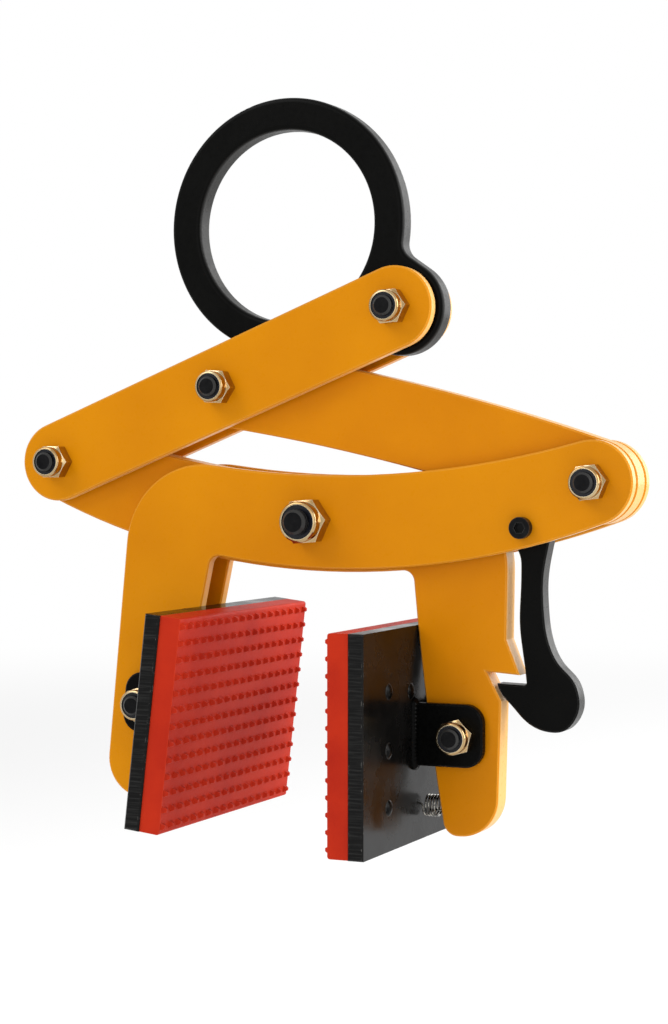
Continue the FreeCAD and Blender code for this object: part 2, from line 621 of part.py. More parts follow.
piece("hook_screw", hook_screw())
hook_fastening = (hook_pivot, outer_face, 1, size["hook_pin_radius"], size["hook_flats_width"],
                  size["hook_nut_height"])
piece("hook_nut", lock_nut(*hook_fastening, NUT_TURNS["main"]))
piece("hook_nylon_ring", nylon_ring(*hook_fastening))
hook_face = size["hook_thickness"] / 2 + size["side_clearance"]
spacer_inner = size["hook_pin_radius"] + size["bolt_clearance"]
hook_spacers = [tube(hook_pivot, start, end, size["hook_spacer_radius"], spacer_inner)
                for start, end in ((-inner_face, -hook_face), (hook_face, inner_face))]
piece("hook_spacers", Part.makeCompound(hook_spacers))

# Left leg's inside: a tube on the pad bolt keeps the plates apart, and a block bears the pad's spring.
piece("left_leg_tube", tube(left_pad_pivot, -inner_face + size["weld_gap"], inner_face - size["weld_gap"],
                            size["spacer_radius"], small_inner))


def leg_edge_x(drop):
    """The leg's inner edge at a drop below the main pivot, on the right jaw."""
    throat = Vector(across_at["throat"], 0, -size["throat_height"])
    toe = Vector(across_at["foot_inside"], 0, -size["leg_height"])
    share = (drop - size["throat_height"]) / (size["leg_height"] - size["throat_height"])
    chord_x = throat.x + (toe.x - throat.x) * share
    return chord_x - 4 * size["leg_bow_height"] * share * (1 - share)


spring_level = down_at["spring"]
spring_drop = spring_level - down_at["pad"]
block_low = -spring_level - size["block_height"] / 2
block_high = -spring_level + size["block_height"] / 2
block_corners = [(leg_edge_x(-block_high), block_high), (leg_edge_x(-block_low), block_low),
                 (leg_edge_x(-block_low) + size["block_length"], block_low),
                 (leg_edge_x(-block_high) + size["block_length"], block_high)]
plate("left_spring_block", rounded([left_side(x, z) for x, z in block_corners], [0, 0, 0, 0]), [],
      f"2 * ({half_stack} - Sizes.weld_gap)", "0 mm", None)


pad_top_drop = down_at["pad"] - size["pad_height"] / 2
pad_offset = across_at["pad"] - leg_edge_x(pad_top_drop) + size["pad_seat_gap"]


# Pads: a steel plate with two welded ears, a toothed rubber face, rivets and a spring at the foot.
def pad_spot(side, x, z):
    """A point of a pad, x from the pad bolt towards the gripping side and z up, as on the right pad."""
    return side(across_at["pad"] - x, -down_at["pad"] + z)


def slab(label, side, start, end, depth_expression):
    """A flat block of the pad's height between two distances from the pad bolt."""
    half = size["pad_height"] / 2
    corners = [pad_spot(side, start, half), pad_spot(side, end, half),
               pad_spot(side, end, -half), pad_spot(side, start, -half)]
    return plate(label, rounded(corners, [0, 0, 0, 0]), [], depth_expression, "0 mm", "Sizes.edge_chamfer")


def rubber_outline(side, start, end):
    """Section of the rubber: flat on the steel plate, a row of flat-topped teeth on the gripping side."""
    half = size["pad_height"] / 2
    pitch = size["pad_height"] / TOOTH_ROWS
    floor = end - size["tooth_depth"]
    land = size["tooth_land_width"] / 2
    foot = size["tooth_foot_width"] / 2
    points = [(start, half), (floor, half)]
    for row in range(TOOTH_ROWS):
        middle = half - row * pitch - pitch / 2
        points += [(floor, middle + foot), (end, middle + land), (end, middle - land), (floor, middle - foot)]
    points += [(floor, -half), (start, -half)]
    corners = [pad_spot(side, x, z) for x, z in points]
    return rounded(corners, [0] * len(corners))


def rivet_shape():
    """A domed rivet about +X, its head's underside at the origin."""
    radius = size["rivet_radius"]
    height = size["rivet_height"]
    shank = size["rivet_shank_radius"]
    depth = size["rivet_depth"]
    dome = (radius ** 2 + height ** 2) / (2 * height)
    half = math.asin(radius / dome) / 2
    apex = Vector(-height, 0, 0)
    rim = Vector(0, 0, radius)
    crown = Vector(dome - height - dome * math.cos(half), 0, dome * math.sin(half))
    corners = [rim, Vector(0, 0, shank), Vector(depth, 0, shank), Vector(depth, 0, 0), apex]
    curves = [arc(apex, crown, rim)] + [line(a, b) for a, b in zip(corners, corners[1:])]
    section = Part.Face(Part.Wire([curve.toShape() for curve in curves]))
    return section.revolve(Vector(0, 0, 0), Vector(1, 0, 0), 360)


def rivets(side):
    """Domed rivets that hold the rubber to the plate: (solid, place of the shank's start, way)."""
    way = (pad_spot(side, 1, 0) - pad_spot(side, 0, 0)).normalize()
    bodies = []
    for depth_share, height_share in RIVET_SHARES:
        for sign in (-1, 1):
            spot = pad_spot(side, pad_offset, height_share * size["pad_height"])
            spot = spot + Vector(0, sign * depth_share * size["pad_depth"], 0)
            rivet = rivet_shape()
            rivet.Placement = FreeCAD.Placement(spot, FreeCAD.Rotation(Vector(1, 0, 0), way))
            bodies.append((rivet, spot, way))
    return bodies


def drill(item, label, places):
    """A copy of a plate with the rivets' holes taken out."""
    cut = item.Shape
    for spot, way in places:
        radius = size["rivet_shank_radius"] + size["rivet_clearance"]
        cut = cut.cut(Part.makeCylinder(radius, size["rivet_depth"] + size["rivet_clearance"], spot, way))
    return piece(label, cut)


def biarc(start, start_way, end, end_way):
    """Two tangent arcs from one point and way to another."""
    step = end - start
    both = start_way + end_way
    turn = 2 * (1 - start_way.dot(end_way))
    reach = (-step.dot(both) + math.sqrt(step.dot(both) ** 2 + turn * step.dot(step))) / turn
    first = start + start_way * reach
    last = end - end_way * reach
    joint = (first + last) * 0.5
    return [tangent_arc(start, first, joint), tangent_arc(joint, last, end)]


def tangent_arc(start, corner, end):
    """The arc that leaves start towards a corner point and arrives at end from it."""
    half = (corner - start).getAngle(end - corner) / 2
    radius = (corner - start).Length / math.tan(half)
    chord_middle = (start + end) * 0.5
    crown = chord_middle + (corner - chord_middle).normalize() * radius * (1 - math.cos(half))
    return Part.Arc(start, crown, end)


def spring(label, side):
    """Compression spring from the pad's plate to the leg, its wire ends turned square to both."""
    wire = size["spring_wire_diameter"]
    radius = size["spring_radius"]
    near = pad_spot(side, pad_offset - size["spring_seat_gap"], -spring_drop)
    leg_gap = across_at["pad"] - leg_edge_x(spring_level + wire)
    far = pad_spot(side, leg_gap + size["spring_seat_gap"], -spring_drop)
    axis = (far - near).normalize()
    out = Vector(0, -math.copysign(1, axis.x), 0)
    up = axis.cross(out)
    straight = wire
    bend = wire * SPRING_BEND_SHARE
    first = straight + bend
    length = (far - near).Length
    coil = length - 2 * first

    def helix(share):
        angle = 2 * math.pi * SPRING_TURNS * share
        radial = out * math.cos(angle) + up * math.sin(angle)
        around = up * math.cos(angle) - out * math.sin(angle)
        slope = around * (2 * math.pi * SPRING_TURNS * radius) + axis * coil
        return near + axis * (first + coil * share) + radial * radius, slope.normalize()

    edges = []
    start, start_way = helix(0)
    end, end_way = helix(1)
    lead = start - start_way * bend - axis * bend
    tail = end + end_way * bend + axis * bend
    edges.append(Part.LineSegment(lead - axis * (lead - near).dot(axis), lead))
    edges.append(tangent_arc(lead, lead + axis * bend, start))
    quarters = 4 * SPRING_TURNS
    for step in range(quarters):
        a, a_way = helix(step / quarters)
        b, b_way = helix((step + 1) / quarters)
        edges += biarc(a, a_way, b, b_way)
    edges.append(tangent_arc(end, end + end_way * bend, tail))
    edges.append(Part.LineSegment(tail, tail + axis * (far - tail).dot(axis)))
    path = Part.Wire([edge.toShape() for edge in edges])
    begin = edges[0].StartPoint
    section = Part.Wire([Part.Circle(begin, axis, wire / 2).toShape()])
    body = path.makePipeShell([section], True, False)
    tube_length = path.Length
    points = path.discretize(SPRING_CHECK_POINTS)
    apart = int(SPRING_CHECK_POINTS * math.pi * radius / tube_length)
    least = min((p - q).Length for i, p in enumerate(points) for q in points[i + apart:])
    print(label, "least gap to itself", round(least - wire, 2), "volume over section times length",
          round(body.Volume / (math.pi * wire ** 2 / 4 * tube_length), 4))
    return piece(label, body)


def ears(label, side, inner, holes):
    """Two ears welded square to the back of the pad's plate, one each side of the leg."""
    half = size["ear_height"] / 2
    corners = [pad_spot(side, pad_offset, half), pad_spot(side, pad_offset, -half),
               pad_spot(side, -size["ear_length"], -half), pad_spot(side, -size["ear_length"], half)]
    radii = [0, 0, size["ear_corner_radius"], size["ear_corner_radius"]]
    face = Part.Face(Part.Wire([curve.toShape() for curve in rounded(corners, radii)]))
    outside = inner + size["ear_thickness"]
    hole = Part.makeCylinder(size["small_bolt_radius"] + size["bolt_clearance"], 2 * outside,
                             across(holes, -outside), BACK)
    bodies = []
    for start in (-inner - size["ear_thickness"], inner):
        ear = face.extrude(Vector(0, size["ear_thickness"], 0))
        ear.translate(Vector(0, start, 0))
        rim = [edge for edge in ear.Edges if edge.BoundBox.YLength < NEAR
               and (edge.CenterOfMass - pad_spot(side, pad_offset, 0)).Length > half]
        bodies.append(ear.makeChamfer(size["edge_chamfer"], rim).cut(hole))
    return piece(label, Part.makeCompound(bodies))


right_gap = size["centre_plate_thickness"] / 2 + size["ear_clearance"]
left_gap = outer_face + size["ear_clearance"]
for name, side, pivot, gap in (("right", right_side, right_pad_pivot, right_gap),
                               ("left", left_side, left_pad_pivot, left_gap)):
    steel_end = pad_offset + size["pad_plate_thickness"]
    rubber_end = steel_end + size["rubber_thickness"]
    held = rivets(side)
    holes = [(spot, way) for body, spot, way in held]
    steel = slab(name + "_plate_blank", side, pad_offset, steel_end, "Sizes.pad_depth")
    drill(steel, name + "_pad_plate", holes)
    blank = plate(name + "_rubber_blank", rubber_outline(side, steel_end, rubber_end), [],
                  "Sizes.pad_depth", "0 mm", None)
    drill(blank, name + "_pad_rubber", holes)
    piece(name + "_pad_rivets", Part.makeCompound([body for body, spot, way in held]))
    ears(name + "_pad_ears", side, gap, pivot)
    ear_face = gap + size["ear_thickness"]
    pivot_set(name + "_pad", [(pivot, NUT_TURNS["pad"])], ear_face, -ear_face, "small")
    spring(name + "_pad_spring", side)

doc.recompute()
BLANKS = ("right_plate_blank", "left_plate_blank", "right_rubber_blank", "left_rubber_blank")
faults = [item.Name for item in doc.Objects if "Invalid" in item.State or "Error" in item.State]
nodes = [item for item in doc.Objects
         if item.TypeId in ("PartDesign::Body", "Part::Feature") and item.Label not in BLANKS]
faults += [item.Label for item in nodes if item.Shape.isNull() or not item.Shape.isValid()]
if faults:
    raise RuntimeError("pieces that failed: " + ", ".join(faults))
os.makedirs("parts", exist_ok=True)
for item in nodes:
    item.Shape.exportStep(f"parts/{item.Label}.step")
print(len(nodes), "pieces written, eye above main pivot", round(eye.z, 2), "right of it", round(eye.x, 2))
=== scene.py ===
import json
import math

import bmesh
import bpy
from mathutils import Matrix, Vector


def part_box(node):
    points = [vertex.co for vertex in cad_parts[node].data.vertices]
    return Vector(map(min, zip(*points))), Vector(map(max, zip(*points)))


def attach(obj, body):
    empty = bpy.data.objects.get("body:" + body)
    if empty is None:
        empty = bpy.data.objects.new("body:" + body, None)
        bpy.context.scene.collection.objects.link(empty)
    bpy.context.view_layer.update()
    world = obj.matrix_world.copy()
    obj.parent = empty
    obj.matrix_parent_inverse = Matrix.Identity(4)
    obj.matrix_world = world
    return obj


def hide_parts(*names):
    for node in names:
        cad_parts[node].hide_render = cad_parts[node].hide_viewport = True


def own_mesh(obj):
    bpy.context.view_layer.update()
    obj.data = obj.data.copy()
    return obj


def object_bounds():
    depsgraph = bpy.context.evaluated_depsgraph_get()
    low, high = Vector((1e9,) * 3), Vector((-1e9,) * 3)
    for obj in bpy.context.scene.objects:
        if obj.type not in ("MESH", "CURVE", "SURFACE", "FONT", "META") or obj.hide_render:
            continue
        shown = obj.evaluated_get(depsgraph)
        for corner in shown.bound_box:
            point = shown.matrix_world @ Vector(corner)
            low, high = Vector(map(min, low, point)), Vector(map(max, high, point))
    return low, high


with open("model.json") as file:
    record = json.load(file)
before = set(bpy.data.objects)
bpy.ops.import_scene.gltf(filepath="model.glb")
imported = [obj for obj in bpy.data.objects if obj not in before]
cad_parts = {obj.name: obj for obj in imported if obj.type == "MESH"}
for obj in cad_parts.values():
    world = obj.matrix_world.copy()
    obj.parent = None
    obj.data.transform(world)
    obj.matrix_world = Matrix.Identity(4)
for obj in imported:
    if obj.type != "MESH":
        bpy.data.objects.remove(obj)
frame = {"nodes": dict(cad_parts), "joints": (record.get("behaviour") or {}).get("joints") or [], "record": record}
cad_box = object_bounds()


# Camera and light
# The tongs are seen from the front right, level with the main pivot, through a long lens. Light is a
# plain white room with large soft lamps high on the left, on the right, in front and behind.
IMAGE_HEIGHT = 1024
FOCAL_PIXELS = 2300
SENSOR = 36.0
CAMERA_TURN, CAMERA_PITCH = math.radians(24.0), math.radians(1.42)
CAMERA_PLACE = Vector((0.40095, -0.8563, -0.09352))
camera_data = bpy.data.cameras.new("camera")
camera_data.sensor_fit = "VERTICAL"
camera_data.sensor_width = SENSOR
camera_data.sensor_height = SENSOR
camera_data.lens = FOCAL_PIXELS / IMAGE_HEIGHT * SENSOR
camera_data.clip_start = 0.01
camera_data.clip_end = 100.0
camera = bpy.data.objects.new("camera", camera_data)
bpy.context.scene.collection.objects.link(camera)
forward = Vector((-math.sin(CAMERA_TURN) * math.cos(CAMERA_PITCH),
                  math.cos(CAMERA_TURN) * math.cos(CAMERA_PITCH), -math.sin(CAMERA_PITCH)))
camera.location = CAMERA_PLACE
camera.rotation_mode = "QUATERNION"
camera.rotation_quaternion = forward.to_track_quat("-Z", "Y")
bpy.context.scene.camera = camera
bpy.context.scene.view_settings.view_transform = "Standard"


def soft_lamp(name, place, aim, size, watts):
    """A square area lamp that looks at a point of the tongs."""
    data = bpy.data.lights.new(name, "AREA")
    data.shape = "SQUARE"
    data.size = size
    data.energy = watts
    lamp = bpy.data.objects.new(name, data)
    lamp.location = place
    lamp.rotation_mode = "QUATERNION"
    lamp.rotation_quaternion = (Vector(aim) - Vector(place)).to_track_quat("-Z", "Y")
    lamp.visible_camera = False
    bpy.context.scene.collection.objects.link(lamp)


TONGS_MIDDLE = (0.02, 0.0, -0.1)
soft_lamp("lamp_left", (-0.9, -1.0, 1.1), TONGS_MIDDLE, 1.2, 14.0)
soft_lamp("lamp_right", (1.4, 0.2, 0.3), TONGS_MIDDLE, 1.0, 20.0)
soft_lamp("lamp_front", (0.3, -1.8, 0.1), TONGS_MIDDLE, 1.5, 7.0)
soft_lamp("lamp_back", (0.9, 1.7, 0.5), TONGS_MIDDLE, 1.4, 18.0)

ROOM_LIGHT = 0.55
world = bpy.data.worlds.new("white_room")
bpy.context.scene.world = world
world.use_nodes = True
tree = world.node_tree
room = tree.nodes["Background"]
room.inputs["Color"].default_value = (1.0, 1.0, 1.0, 1.0)
path = tree.nodes.new("ShaderNodeLightPath")
shown = path.outputs["Is Camera Ray"]
for ray in ("Is Glossy Ray", "Is Transmission Ray"):
    either = tree.nodes.new("ShaderNodeMath")
    either.operation = "MAXIMUM"
    tree.links.new(shown, either.inputs[0])
    tree.links.new(path.outputs[ray], either.inputs[1])
    shown = either.outputs[0]
strength = tree.nodes.new("ShaderNodeMapRange")
strength.inputs["To Min"].default_value = ROOM_LIGHT
strength.inputs["To Max"].default_value = 1.0
tree.links.new(shown, strength.inputs["Value"])
tree.links.new(strength.outputs["Result"], room.inputs["Strength"])


# Floor
# A plain pale sheet under the hanging tongs, low enough to clear them when they close, which only takes
# their soft shadow. It fades to the white of the room far from the tongs, so that no horizon shows.
FLOOR_DROP = 0.13
FLOOR_SIZE = 40.0
FADE_START, FADE_END = 0.3, 2.6
FLOOR_PALE = (0.86, 0.86, 0.86, 1.0)
FLOOR_GLOW = 0.1
FLOOR_ROUGH = 0.9
half = FLOOR_SIZE / 2
floor_corners = [(-half, -half, 0.0), (half, -half, 0.0), (half, half, 0.0), (-half, half, 0.0)]
floor_mesh = bpy.data.meshes.new("floor")
floor_mesh.from_pydata(floor_corners, [], [(0, 1, 2, 3)])
floor = bpy.data.objects.new("floor", floor_mesh)
floor.location = (0.0, 0.0, cad_box[0].z - FLOOR_DROP)
bpy.context.scene.collection.objects.link(floor)
floor_paint = bpy.data.materials.new("pale_floor")
floor_paint.use_nodes = True
tree = floor_paint.node_tree
sheet = tree.nodes["Principled BSDF"]
sheet.inputs["Base Color"].default_value = FLOOR_PALE
sheet.inputs["Roughness"].default_value = FLOOR_ROUGH
sheet.inputs["Specular IOR Level"].default_value = 0.0
sheet.inputs["Emission Color"].default_value = (1.0, 1.0, 1.0, 1.0)
sheet.inputs["Emission Strength"].default_value = FLOOR_GLOW
glow = tree.nodes.new("ShaderNodeEmission")
glow.inputs["Strength"].default_value = 1.0
where = tree.nodes.new("ShaderNodeTexCoord")
far = tree.nodes.new("ShaderNodeVectorMath")
far.operation = "LENGTH"
tree.links.new(where.outputs["Object"], far.inputs[0])
fade = tree.nodes.new("ShaderNodeMapRange")
fade.interpolation_type = "SMOOTHSTEP"
fade.inputs["From Min"].default_value = FADE_START
fade.inputs["From Max"].default_value = FADE_END
tree.links.new(far.outputs["Value"], fade.inputs["Value"])
both = tree.nodes.new("ShaderNodeMixShader")
tree.links.new(fade.outputs["Result"], both.inputs[0])
tree.links.new(sheet.outputs[0], both.inputs[1])
tree.links.new(glow.outputs[0], both.inputs[2])
tree.links.new(both.outputs[0], tree.nodes["Material Output"].inputs["Surface"])
floor_mesh.materials.append(floor_paint)


# Lifting ring
# The ring that the tongs hang by: 10 mm steel plate cut to a ring with an ear, its edges dressed round,
# then sprayed black. It turns on a bolt between the upper link's two bars.
def start_material(name):
    """A node material with its object coordinates: material, tree, shader and coordinate socket."""
    material = bpy.data.materials.new(name)
    material.use_nodes = True
    node_tree = material.node_tree
    shader = node_tree.nodes["Principled BSDF"]
    place = node_tree.nodes.new("ShaderNodeTexCoord")
    return material, node_tree, shader, place.outputs["Object"]


def cloud(node_tree, place, scale, detail=4.0, roughness=0.55, stretch=(1.0, 1.0, 1.0)):
    """Noise of a given scale per metre; stretch squeezes it along the axes."""
    if stretch != (1.0, 1.0, 1.0):
        mapping = node_tree.nodes.new("ShaderNodeMapping")
        mapping.inputs["Scale"].default_value = stretch
        node_tree.links.new(place, mapping.inputs["Vector"])
        place = mapping.outputs["Vector"]
    noise = node_tree.nodes.new("ShaderNodeTexNoise")
    noise.inputs["Scale"].default_value = scale
    noise.inputs["Detail"].default_value = detail
    noise.inputs["Roughness"].default_value = roughness
    node_tree.links.new(place, noise.inputs["Vector"])
    return noise.outputs["Fac"]


def spread(node_tree, value, low, high, to_low, to_high):
    """Maps a value's range to another, clamped."""
    span = node_tree.nodes.new("ShaderNodeMapRange")
    span.inputs["From Min"].default_value = low
    span.inputs["From Max"].default_value = high
    span.inputs["To Min"].default_value = to_low
    span.inputs["To Max"].default_value = to_high
    node_tree.links.new(value, span.inputs["Value"])
    return span.outputs["Result"]


def product(node_tree, first, second):
    """Two values multiplied; the second is a socket or a number."""
    times = node_tree.nodes.new("ShaderNodeMath")
    times.operation = "MULTIPLY"
    node_tree.links.new(first, times.inputs[0])
    if isinstance(second, float):
        times.inputs[1].default_value = second
    else:
        node_tree.links.new(second, times.inputs[1])
    return times.outputs[0]


def mixed(node_tree, share, first, second):
    """A colour between two, given as colours or sockets."""
    mix = node_tree.nodes.new("ShaderNodeMix")
    mix.data_type = "RGBA"
    node_tree.links.new(share, mix.inputs[0])
    for socket, colour in ((mix.inputs[6], first), (mix.inputs[7], second)):
        if isinstance(colour, tuple):
            socket.default_value = (*colour, 1.0)
        else:
            node_tree.links.new(colour, socket)
    return mix.outputs[2]


def edges(node_tree, radius, low, high):
    """A mask that is one along the edges of a piece and zero on its faces."""
    rounded = node_tree.nodes.new("ShaderNodeBevel")
    rounded.samples = 6
    rounded.inputs["Radius"].default_value = radius
    true_way = node_tree.nodes.new("ShaderNodeNewGeometry")
    match = node_tree.nodes.new("ShaderNodeVectorMath")
    match.operation = "DOT_PRODUCT"
    node_tree.links.new(rounded.outputs["Normal"], match.inputs[0])
    node_tree.links.new(true_way.outputs["Normal"], match.inputs[1])
    return spread(node_tree, match.outputs["Value"], 1.0 - low, 1.0 - high, 0.0, 1.0)


def relief(node_tree, shader, height, distance, strength):
    """Bump on a shader from a height value."""
    bump = node_tree.nodes.new("ShaderNodeBump")
    bump.inputs["Distance"].default_value = distance
    bump.inputs["Strength"].default_value = strength
    node_tree.links.new(height, bump.inputs["Height"])
    node_tree.links.new(bump.outputs["Normal"], shader.inputs["Normal"])


def finish_node(name, material):
    """Gives a CAD node its finish."""
    piece = frame["nodes"][name]
    if not piece.material_slots:
        piece.data.materials.append(material)
    for slot in piece.material_slots:
        slot.link = "OBJECT"
        slot.material = material


def facing_front(node_tree):
    """How far a surface faces the front or the back: one on a plate's face, zero on its cut edge."""
    true_way = node_tree.nodes.new("ShaderNodeNewGeometry")
    split = node_tree.nodes.new("ShaderNodeSeparateXYZ")
    node_tree.links.new(true_way.outputs["Normal"], split.inputs[0])
    size = node_tree.nodes.new("ShaderNodeMath")
    size.operation = "ABSOLUTE"
    node_tree.links.new(split.outputs["Y"], size.inputs[0])
    return size.outputs[0]


def black_paint(name, body, wall, worn, gloss):
    """Sprayed black paint: colours of the faces, of the cut edges as a painted reflection, and of the wear, gloss
    as the mean roughness.
    """
    material, node_tree, shader, place = start_material(name)
    patches = spread(node_tree, cloud(node_tree, place, scale=45.0, detail=6.0), 0.35, 0.7, 0.0, 1.0)
    dust = cloud(node_tree, place, scale=420.0, detail=3.0)
    grain = spread(node_tree, cloud(node_tree, place, scale=900.0, detail=2.0), 0.35, 0.7, 0.0, 0.7)
    worn_edge = product(node_tree, edges(node_tree, radius=0.0007, low=0.02, high=0.3), grain)
    light = tuple(channel * PATCH_LIFT for channel in body)
    ground = mixed(node_tree, patches, body, light)
    # The cut walls take the wall colour, a painted reflection of the bright room on the paint's sides.
    ground = mixed(node_tree, spread(node_tree, facing_front(node_tree), 0.75, 0.15, 0.0, 1.0), ground, wall)
    node_tree.links.new(mixed(node_tree, worn_edge, ground, worn), shader.inputs["Base Color"])
    shine = spread(node_tree, dust, 0.3, 0.75, gloss - 0.06, gloss + 0.1)
    node_tree.links.new(shine, shader.inputs["Roughness"])
    shader.inputs["Specular IOR Level"].default_value = 0.045
    spray = cloud(node_tree, place, scale=700.0, detail=2.0)
    relief(node_tree, shader, spray, distance=0.00012, strength=0.12)
    return material


PATCH_LIFT = 1.7
RING_BLACK = (0.0016, 0.0016, 0.0014)
# The ring's wall colour is a painted reflection: its cut walls are painted paler grey than its faces.
RING_WALL_REFLECTION = (0.034, 0.034, 0.033)
RING_WORN = (0.04, 0.04, 0.039)
finish_node("lifting_ring", black_paint("black_ring_paint", RING_BLACK, RING_WALL_REFLECTION, RING_WORN, 0.3))


# Orange plates
# The upper link's bars, the two jaws and the diagonal link: steel plate cut by laser, edges broken with a
# small chamfer, then powder coated orange. The cut walls are painted paler as a painted reflection, the edges
# paler still as a painted highlight, and the plates that sit between others a darker copy as painted shade.
def orange_paint(name, deep, bright, wall, pale):
    """Powder coat: two depths of colour in soft patches, cut walls painted paler as a painted reflection and edges
    painted pale as a painted highlight.
    """
    material, node_tree, shader, place = start_material(name)
    patches = spread(node_tree, cloud(node_tree, place, scale=18.0, detail=5.0), 0.3, 0.7, 0.0, 1.0)
    speck = cloud(node_tree, place, scale=650.0, detail=2.0)
    # The pale rim along the edges is a painted highlight.
    rim = product(node_tree, edges(node_tree, radius=0.0009, low=0.015, high=0.3), 0.55)
    ground = mixed(node_tree, patches, deep, bright)
    # The paler cut walls are a painted reflection.
    ground = mixed(node_tree, spread(node_tree, facing_front(node_tree), 0.75, 0.15, 0.0, 1.0), ground, wall)
    node_tree.links.new(mixed(node_tree, rim, ground, pale), shader.inputs["Base Color"])
    node_tree.links.new(spread(node_tree, speck, 0.3, 0.75, 0.26, 0.36), shader.inputs["Roughness"])
    shader.inputs["Specular IOR Level"].default_value = 0.07
    powder = cloud(node_tree, place, scale=480.0, detail=3.0)
    relief(node_tree, shader, powder, distance=0.00015, strength=0.1)
    return material


ORANGE_DEEP = (0.585, 0.203, 0.0012)
ORANGE_BRIGHT = (0.65, 0.24, 0.0015)
ORANGE_WALL_REFLECTION = (0.74, 0.4, 0.12)
ORANGE_EDGE_HIGHLIGHT = (0.88, 0.58, 0.14)
# The plates that sit between others get a darker, redder copy of the orange: painted shade.
SHADED_INNER_DEEP = (0.57, 0.187, 0.0012)
SHADED_INNER_BRIGHT = (0.65, 0.23, 0.0015)
plate_paint = orange_paint("orange_plate_paint", ORANGE_DEEP, ORANGE_BRIGHT, ORANGE_WALL_REFLECTION, ORANGE_EDGE_HIGHLIGHT)
shaded_inner_paint = orange_paint("orange_shaded_inner_paint", SHADED_INNER_DEEP, SHADED_INNER_BRIGHT, ORANGE_WALL_REFLECTION, ORANGE_EDGE_HIGHLIGHT)
for plate_name in ("upper_link_front", "upper_link_rear", "left_jaw_front", "left_jaw_rear"):
    finish_node(plate_name, plate_paint)
for plate_name in ("diagonal_link", "right_jaw", "left_spring_block"):
    finish_node(plate_name, shaded_inner_paint)


# Pivot bolts
# Black hex bolts through the stacked plates, heads at the back and a rolled thread at the front that stands
# out of the nut. Oiled black oxide on steel, painted brighter on the heads' edges, the ends and the thread's
# crests, partly as rubbed wear and partly as a painted highlight, with a painted highlight ring on the end's
# bevel.
BOLT_BLACK = (0.004, 0.004, 0.0045)
BOLT_TURNED = (0.009, 0.009, 0.0095)
BOLT_WORN_AND_HIGHLIGHT = (0.1, 0.098, 0.095)
BOLT_BEVEL_HIGHLIGHT = (0.036, 0.036, 0.035)
BEVEL_SLOPE, BEVEL_SPAN = 0.707, 0.12
THREAD_STEPS, CREST_SIDES = 28, 8


def bolt_black():
    """Black oxide steel, turned marks round the shank, a painted highlight ring on the bevel at the end, and edges
    painted lighter as rubbed wear and a painted highlight.
    """
    material, node_tree, shader, place = start_material("black_bolt_steel")
    turned = cloud(node_tree, place, scale=260.0, detail=3.0, roughness=0.6, stretch=(1.0, 0.15, 1.0))
    ground = mixed(node_tree, spread(node_tree, turned, 0.3, 0.75, 0.0, 1.0), BOLT_BLACK, BOLT_TURNED)
    # The faces that slope like the end's bevel are painted lighter: a painted highlight ring.
    bevel_highlight = node_tree.nodes.new("ShaderNodeMath")
    bevel_highlight.operation = "COMPARE"
    bevel_highlight.inputs[1].default_value = BEVEL_SLOPE
    bevel_highlight.inputs[2].default_value = BEVEL_SPAN
    node_tree.links.new(facing_front(node_tree), bevel_highlight.inputs[0])
    ground = mixed(node_tree, bevel_highlight.outputs[0], ground, BOLT_BEVEL_HIGHLIGHT)
    # The lighter edges are partly rubbed wear and partly a painted highlight.
    rub_and_highlight = product(node_tree, edges(node_tree, radius=0.0004, low=0.02, high=0.25), 0.7)
    node_tree.links.new(mixed(node_tree, rub_and_highlight, ground, BOLT_WORN_AND_HIGHLIGHT), shader.inputs["Base Color"])
    shader.inputs["Metallic"].default_value = 0.15
    shader.inputs["Specular IOR Level"].default_value = 0.06
    node_tree.links.new(spread(node_tree, turned, 0.3, 0.75, 0.18, 0.3), shader.inputs["Roughness"])
    relief(node_tree, shader, turned, distance=0.0001, strength=0.15)
    return material


